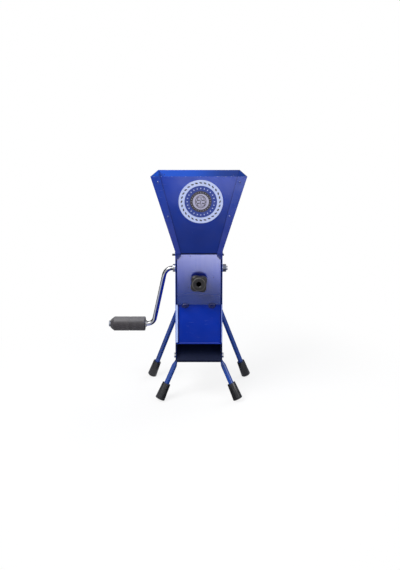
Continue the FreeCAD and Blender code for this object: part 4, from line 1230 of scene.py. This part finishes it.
@dataclass
class Crank(Assembly):
    """The crank bar with its drum, collars and nuts, and the turning hand grip.

    Attributes:
        axis: Y and Z of the shaft in mm.
        drum: The drum's radius, half length, pocket floor, rim's inner radius, hub radius and bore in mm.
        flutes: How many flutes there are.
        steps: Facets of the drum for each flute.
        scoop: A flute's depth in mm and its share of the pitch.
        crest: The angle in degrees from which the drum's edges stay sharp.
        thread: Start, length, radius and pitch in mm of the thread on the shaft's end.
        ridge: The thread ridge's radius as a share of the pitch.
    """

    axis: Span = (17.0, 297.6)
    drum: tuple[float, float, float, float, float, float] = (31.0, 50.0, 18.0, 23.0, 13.0, 5.55)
    flutes: int = 14
    steps: int = 16
    scoop: Span = (3.2, 0.62)
    crest: float = 25.0
    thread: tuple[float, float, float, float] = (67.6, 2.9, 4.9, 1.5)
    ridge: float = 0.22

    def dress(self) -> None:
        """Makes the crank's pieces."""
        soften = self.shop.soften
        soften(Finish.CHROME, 0, "crank_bar")
        self.fluted_drum()
        soften(Finish.STEEL, 0.25, "drum_pin")
        soften(Finish.ZINC, 0.35, "shaft_collar", "collar_screw", "shaft_washer", "grip_collar")
        soften(Finish.BLUED, 0.35, "shaft_nut", "grip_nut")
        soften(Finish.GRIP, 1.0, "hand_grip", rounds=3)
        self.shaft_thread()

    def along_shaft(self, start: float) -> Matrix:
        """A frame whose Z axis runs along the shaft, from a place in mm."""
        turn = Vector((1, 0, 0)).to_track_quat("Z", "Y").to_matrix().to_4x4()
        return Matrix.Translation(Vector((start, *self.axis)) * MM) @ turn

    def fluted_drum(self) -> None:
        """The drum: a turned body with a pocket in each end, and the flutes along it."""
        radius, half, floor, rim, hub, bore = (value * MM for value in self.drum)
        left = [(bore, -half), (hub, -half), (hub, -floor), (rim, -floor), (rim, -half), (radius, -half)]
        right = [(reach, -place) for reach, place in reversed(left)]
        body = lathe(left + right, self.along_shaft(0.0), closed=True, sides=self.flutes * self.steps)
        depth, share = self.scoop
        y, z = (value * MM for value in self.axis)
        drum = flute_jig().make("dressed_cracking_drum", body, Finish.STEEL, Flutes=self.flutes,
                                Radius=radius, Depth=depth * MM, Share=share, Centre_Y=y, Centre_Z=z)
        drum.data.set_sharp_from_angle(angle=math.radians(self.crest))
        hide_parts("cracking_drum")
        self.shop.fit(drum, "crank", "drum_steel")

    def shaft_thread(self) -> None:
        """The thread that shows beyond the shaft's nut."""
        start, length, radius, pitch = self.thread
        thread = thread_jig().make("shaft_thread", mesh_of([(0, 0, 0)]), Finish.ZINC, Radius=radius * MM,
                                   Length=length * MM, Pitch=pitch * MM, Ridge=self.ridge * pitch * MM)
        thread.data.transform(self.along_shaft(start))
        self.shop.fit(thread, "crank", "zinc")


@dataclass
class Jaw(Assembly):
    """The hanging jaw, and the pad, screw, nut and knob that set it.

    Attributes:
        recess: Height of the knob's middle, radius of its recess and of the recess's mouth, in mm.
    """

    recess: tuple[float, float, float] = (285.0, 4.2, 7.0)

    def dress(self) -> None:
        """Makes the jaw's pieces."""
        soften = self.shop.soften
        soften(Finish.STEEL, 0.3, "jaw_plate", "pressure_pad")
        soften(Finish.DARK, 0.3, "jaw_tube")
        soften(Finish.ZINC, 0.3, "adjusting_screw", "screw_nut")
        soften(Finish.KNOB, 0.8, "adjusting_knob", rounds=3, shape=self.dish)

    def dish(self, form: bmesh.types.BMesh) -> None:
        """Opens the mouth of the knob's recess into a cone."""
        height, bore, mouth = (value * MM for value in self.recess)
        rings = [v for v in form.verts if abs(math.hypot(v.co.x, v.co.z - height) - bore) < 0.3 * MM]
        front = min(v.co.y for v in rings)
        for vert in rings:
            if vert.co.y < front + 0.2 * MM:
                vert.co.x *= mouth / bore
                vert.co.z = height + (vert.co.z - height) * mouth / bore


@dataclass
class Legs(Assembly):
    """Four tube legs with rubber feet and their bolts."""

    def dress(self) -> None:
        """Makes the legs' pieces."""
        for place in ("front_left", "front_right", "rear_left", "rear_right"):
            self.shop.soften(Finish.LEG, 0, "leg_" + place)
            self.shop.soften(Finish.FOOT, 0, "foot_" + place)
        self.shop.soften(Finish.ZINC, 0.4, "front_leg_bolts", "rear_leg_bolts")


# Studio ------------------------------------------------------------------------------------------


@dataclass(frozen=True)
class Lamp:
    """A soft area lamp.

    Attributes:
        name: Its name.
        place: Its centre.
        target: The point it faces.
        size: Its width and height in metres.
        power: Its power in watts.
    """

    name: str
    place: Triple
    target: Triple
    size: Span
    power: float

    def hang(self) -> None:
        """Makes the lamp; the camera doesn't see it."""
        data = bpy.data.lights.new(self.name, "AREA")
        data.shape = "RECTANGLE"
        data.size, data.size_y = self.size
        data.energy = self.power
        lamp = linked(self.name, data)
        lamp.location = self.place
        lamp.rotation_euler = (Vector(self.target) - lamp.location).to_track_quat("-Z", "Y").to_euler()
        lamp.visible_camera = False


@dataclass
class Studio:
    """Camera, floor, world and lamps.

    Attributes:
        eye: The camera's place.
        tilt: How far it looks down, in radians.
        lens: Its focal length in mm.
        rise: Its vertical shift.
        reach: Half the floor's width in metres.
    """

    eye: Triple = (0.0026, -1.283, 0.6273)
    tilt: float = 0.068
    lens: float = 33.56
    rise: float = -0.2
    reach: float = 6.0

    MIDDLE = (0, 0, 0.3)
    LAMPS = (Lamp("key", (-1.15, -0.85, 1.95), MIDDLE, (1.1, 1.1), 46.0),
             Lamp("fill", (1.5, -1.2, 1.1), MIDDLE, (1.0, 1.2), 9.0),
             Lamp("back", (1.35, 1.30, 1.5), MIDDLE, (1.4, 1.2), 20.0),
             Lamp("low", (0.90, -1.68, 0.03), (0.90, -1.60, 2.0), (2.1, 0.55), 8.8))
    # Colours of the floor: to the eye; mirrored under the machine, beside it and in front of it.
    PAPER = (0.80, 0.80, 0.81)
    UNDER, AHEAD = (0.02, 0.022, 0.035), (0.95, 0.95, 1.0)
    LEFT, RIGHT = (0.55, 0.56, 0.61), (0.34, 0.35, 0.40)
    # Where they change, in metres; AWAY in square metres.
    AWAY, NEAR_Y, NEAR_X, WIDE = (0.03, 0.45), (-0.50, -0.38), (0.075, 0.10), (0.14, 0.32)
    BEHIND, SIDES, AHEAD_Y, AHEAD_X = (0.08, 0.26), (-0.12, 0.12), (0.84, 1.62), (-0.34, 0.20)
    # The world's light, and its colour low down where it is mirrored.
    SKY, SKY_POWER, LOW_SKY = (0.95, 0.97, 1.0), 0.45, (0.14, 0.15, 0.18)

    def set_up(self) -> None:
        """Makes everything that isn't part of the machine."""
        self.camera()
        self.floor()
        self.world()
        for lamp in self.LAMPS:
            lamp.hang()
        bpy.context.scene.view_settings.view_transform = "Standard"

    def camera(self) -> None:
        """The camera at its place."""
        data = bpy.data.cameras.new("camera")
        data.lens = self.lens
        data.shift_y = self.rise
        eye = linked("camera", data)
        eye.location = self.eye
        eye.rotation_euler = (math.pi / 2 - self.tilt, 0, 0)
        bpy.context.scene.camera = eye

    def floor(self) -> None:
        """A pale floor that looks white and keeps the soft shadow; gloss sees it darker round the machine."""
        far = self.reach
        plane = mesh_of([(-far, -far, 0), (far, -far, 0), (far, far, 0), (-far, far, 0)], [(0, 1, 2, 3)])
        r = Recipe("floor")
        paper = r.node("ShaderNodeBsdfDiffuse", {"Color": self.PAPER})
        glow = r.node("ShaderNodeEmission", {"Color": WHITE, "Strength": 1.0})
        away = (r.axis("X") ** 2 + r.axis("Y") ** 2).step(*self.AWAY)
        whiter = r.rays("Is Camera Ray") * (0.82 + 0.18 * away)
        seen = r.node("ShaderNodeMixShader", {0: whiter, 1: paper, 2: glow})
        wide = abs(r.axis("X"))
        near = r.axis("Y").step(*self.NEAR_Y) * wide.step(*self.NEAR_X)
        beside = near.larger(wide.step(*self.WIDE)) * r.axis("Y").fall(*self.BEHIND)
        edge = r.mix(r.axis("X").step(*self.SIDES), self.LEFT, self.RIGHT)
        ahead = (0 - r.axis("Y")).step(*self.AHEAD_Y) * (0.25 + 0.75 * r.axis("X").step(*self.AHEAD_X))
        dim = r.layered(self.UNDER, (beside, 1.0, edge), (ahead, 1.0, self.AHEAD))
        mirrored = r.node("ShaderNodeEmission", {"Color": dim, "Strength": 1.0})
        both = r.node("ShaderNodeMixShader", {0: r.rays("Is Glossy Ray"), 1: seen, 2: mirrored})
        plane.materials.append(r.surface(both))
        linked("floor", plane)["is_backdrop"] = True

    def world(self) -> None:
        """An even world; it is white where it is seen, and dark low down and behind where it is mirrored."""
        world = bpy.data.worlds.new("world")
        world.use_nodes = True
        g = Graph(world.node_tree, "ShaderNodeOutputWorld")
        height = g.node("ShaderNodeMapRange", {"Value": g.coordinate("Generated", "Z"), "From Max": 0.55})
        turned = {"Value": g.coordinate("Generated", "Y"), "From Min": -0.42, "From Max": 0.06, "To Min": 1.0,
                  "To Max": 0.08}
        ahead = g.node("ShaderNodeMapRange", turned, interpolation_type="SMOOTHSTEP")
        sky = g.mix((height * ahead).larger(g.rays("Is Camera Ray")), self.LOW_SKY, WHITE)
        soft = g.node("ShaderNodeBackground", {"Color": self.SKY, "Strength": self.SKY_POWER})
        shown = g.node("ShaderNodeBackground", {"Color": sky, "Strength": 1.0})
        sharp = g.rays("Is Camera Ray").larger(g.rays("Is Glossy Ray"))
        both = g.node("ShaderNodeMixShader", {0: sharp, 1: soft, 2: shown})
        g.plug(g.output.inputs["Surface"], both)
        bpy.context.scene.world = world


def main() -> None:
    """Builds the dressed machine in its studio."""
    logging.basicConfig(level=logging.INFO, format="%(name)s: %(message)s")
    shop = Workshop()
    Studio().set_up()
    for part in (Body(shop), Hopper(shop), Crank(shop), Jaw(shop), Legs(shop)):
        part.dress()


if __name__ == "__main__":
    main()
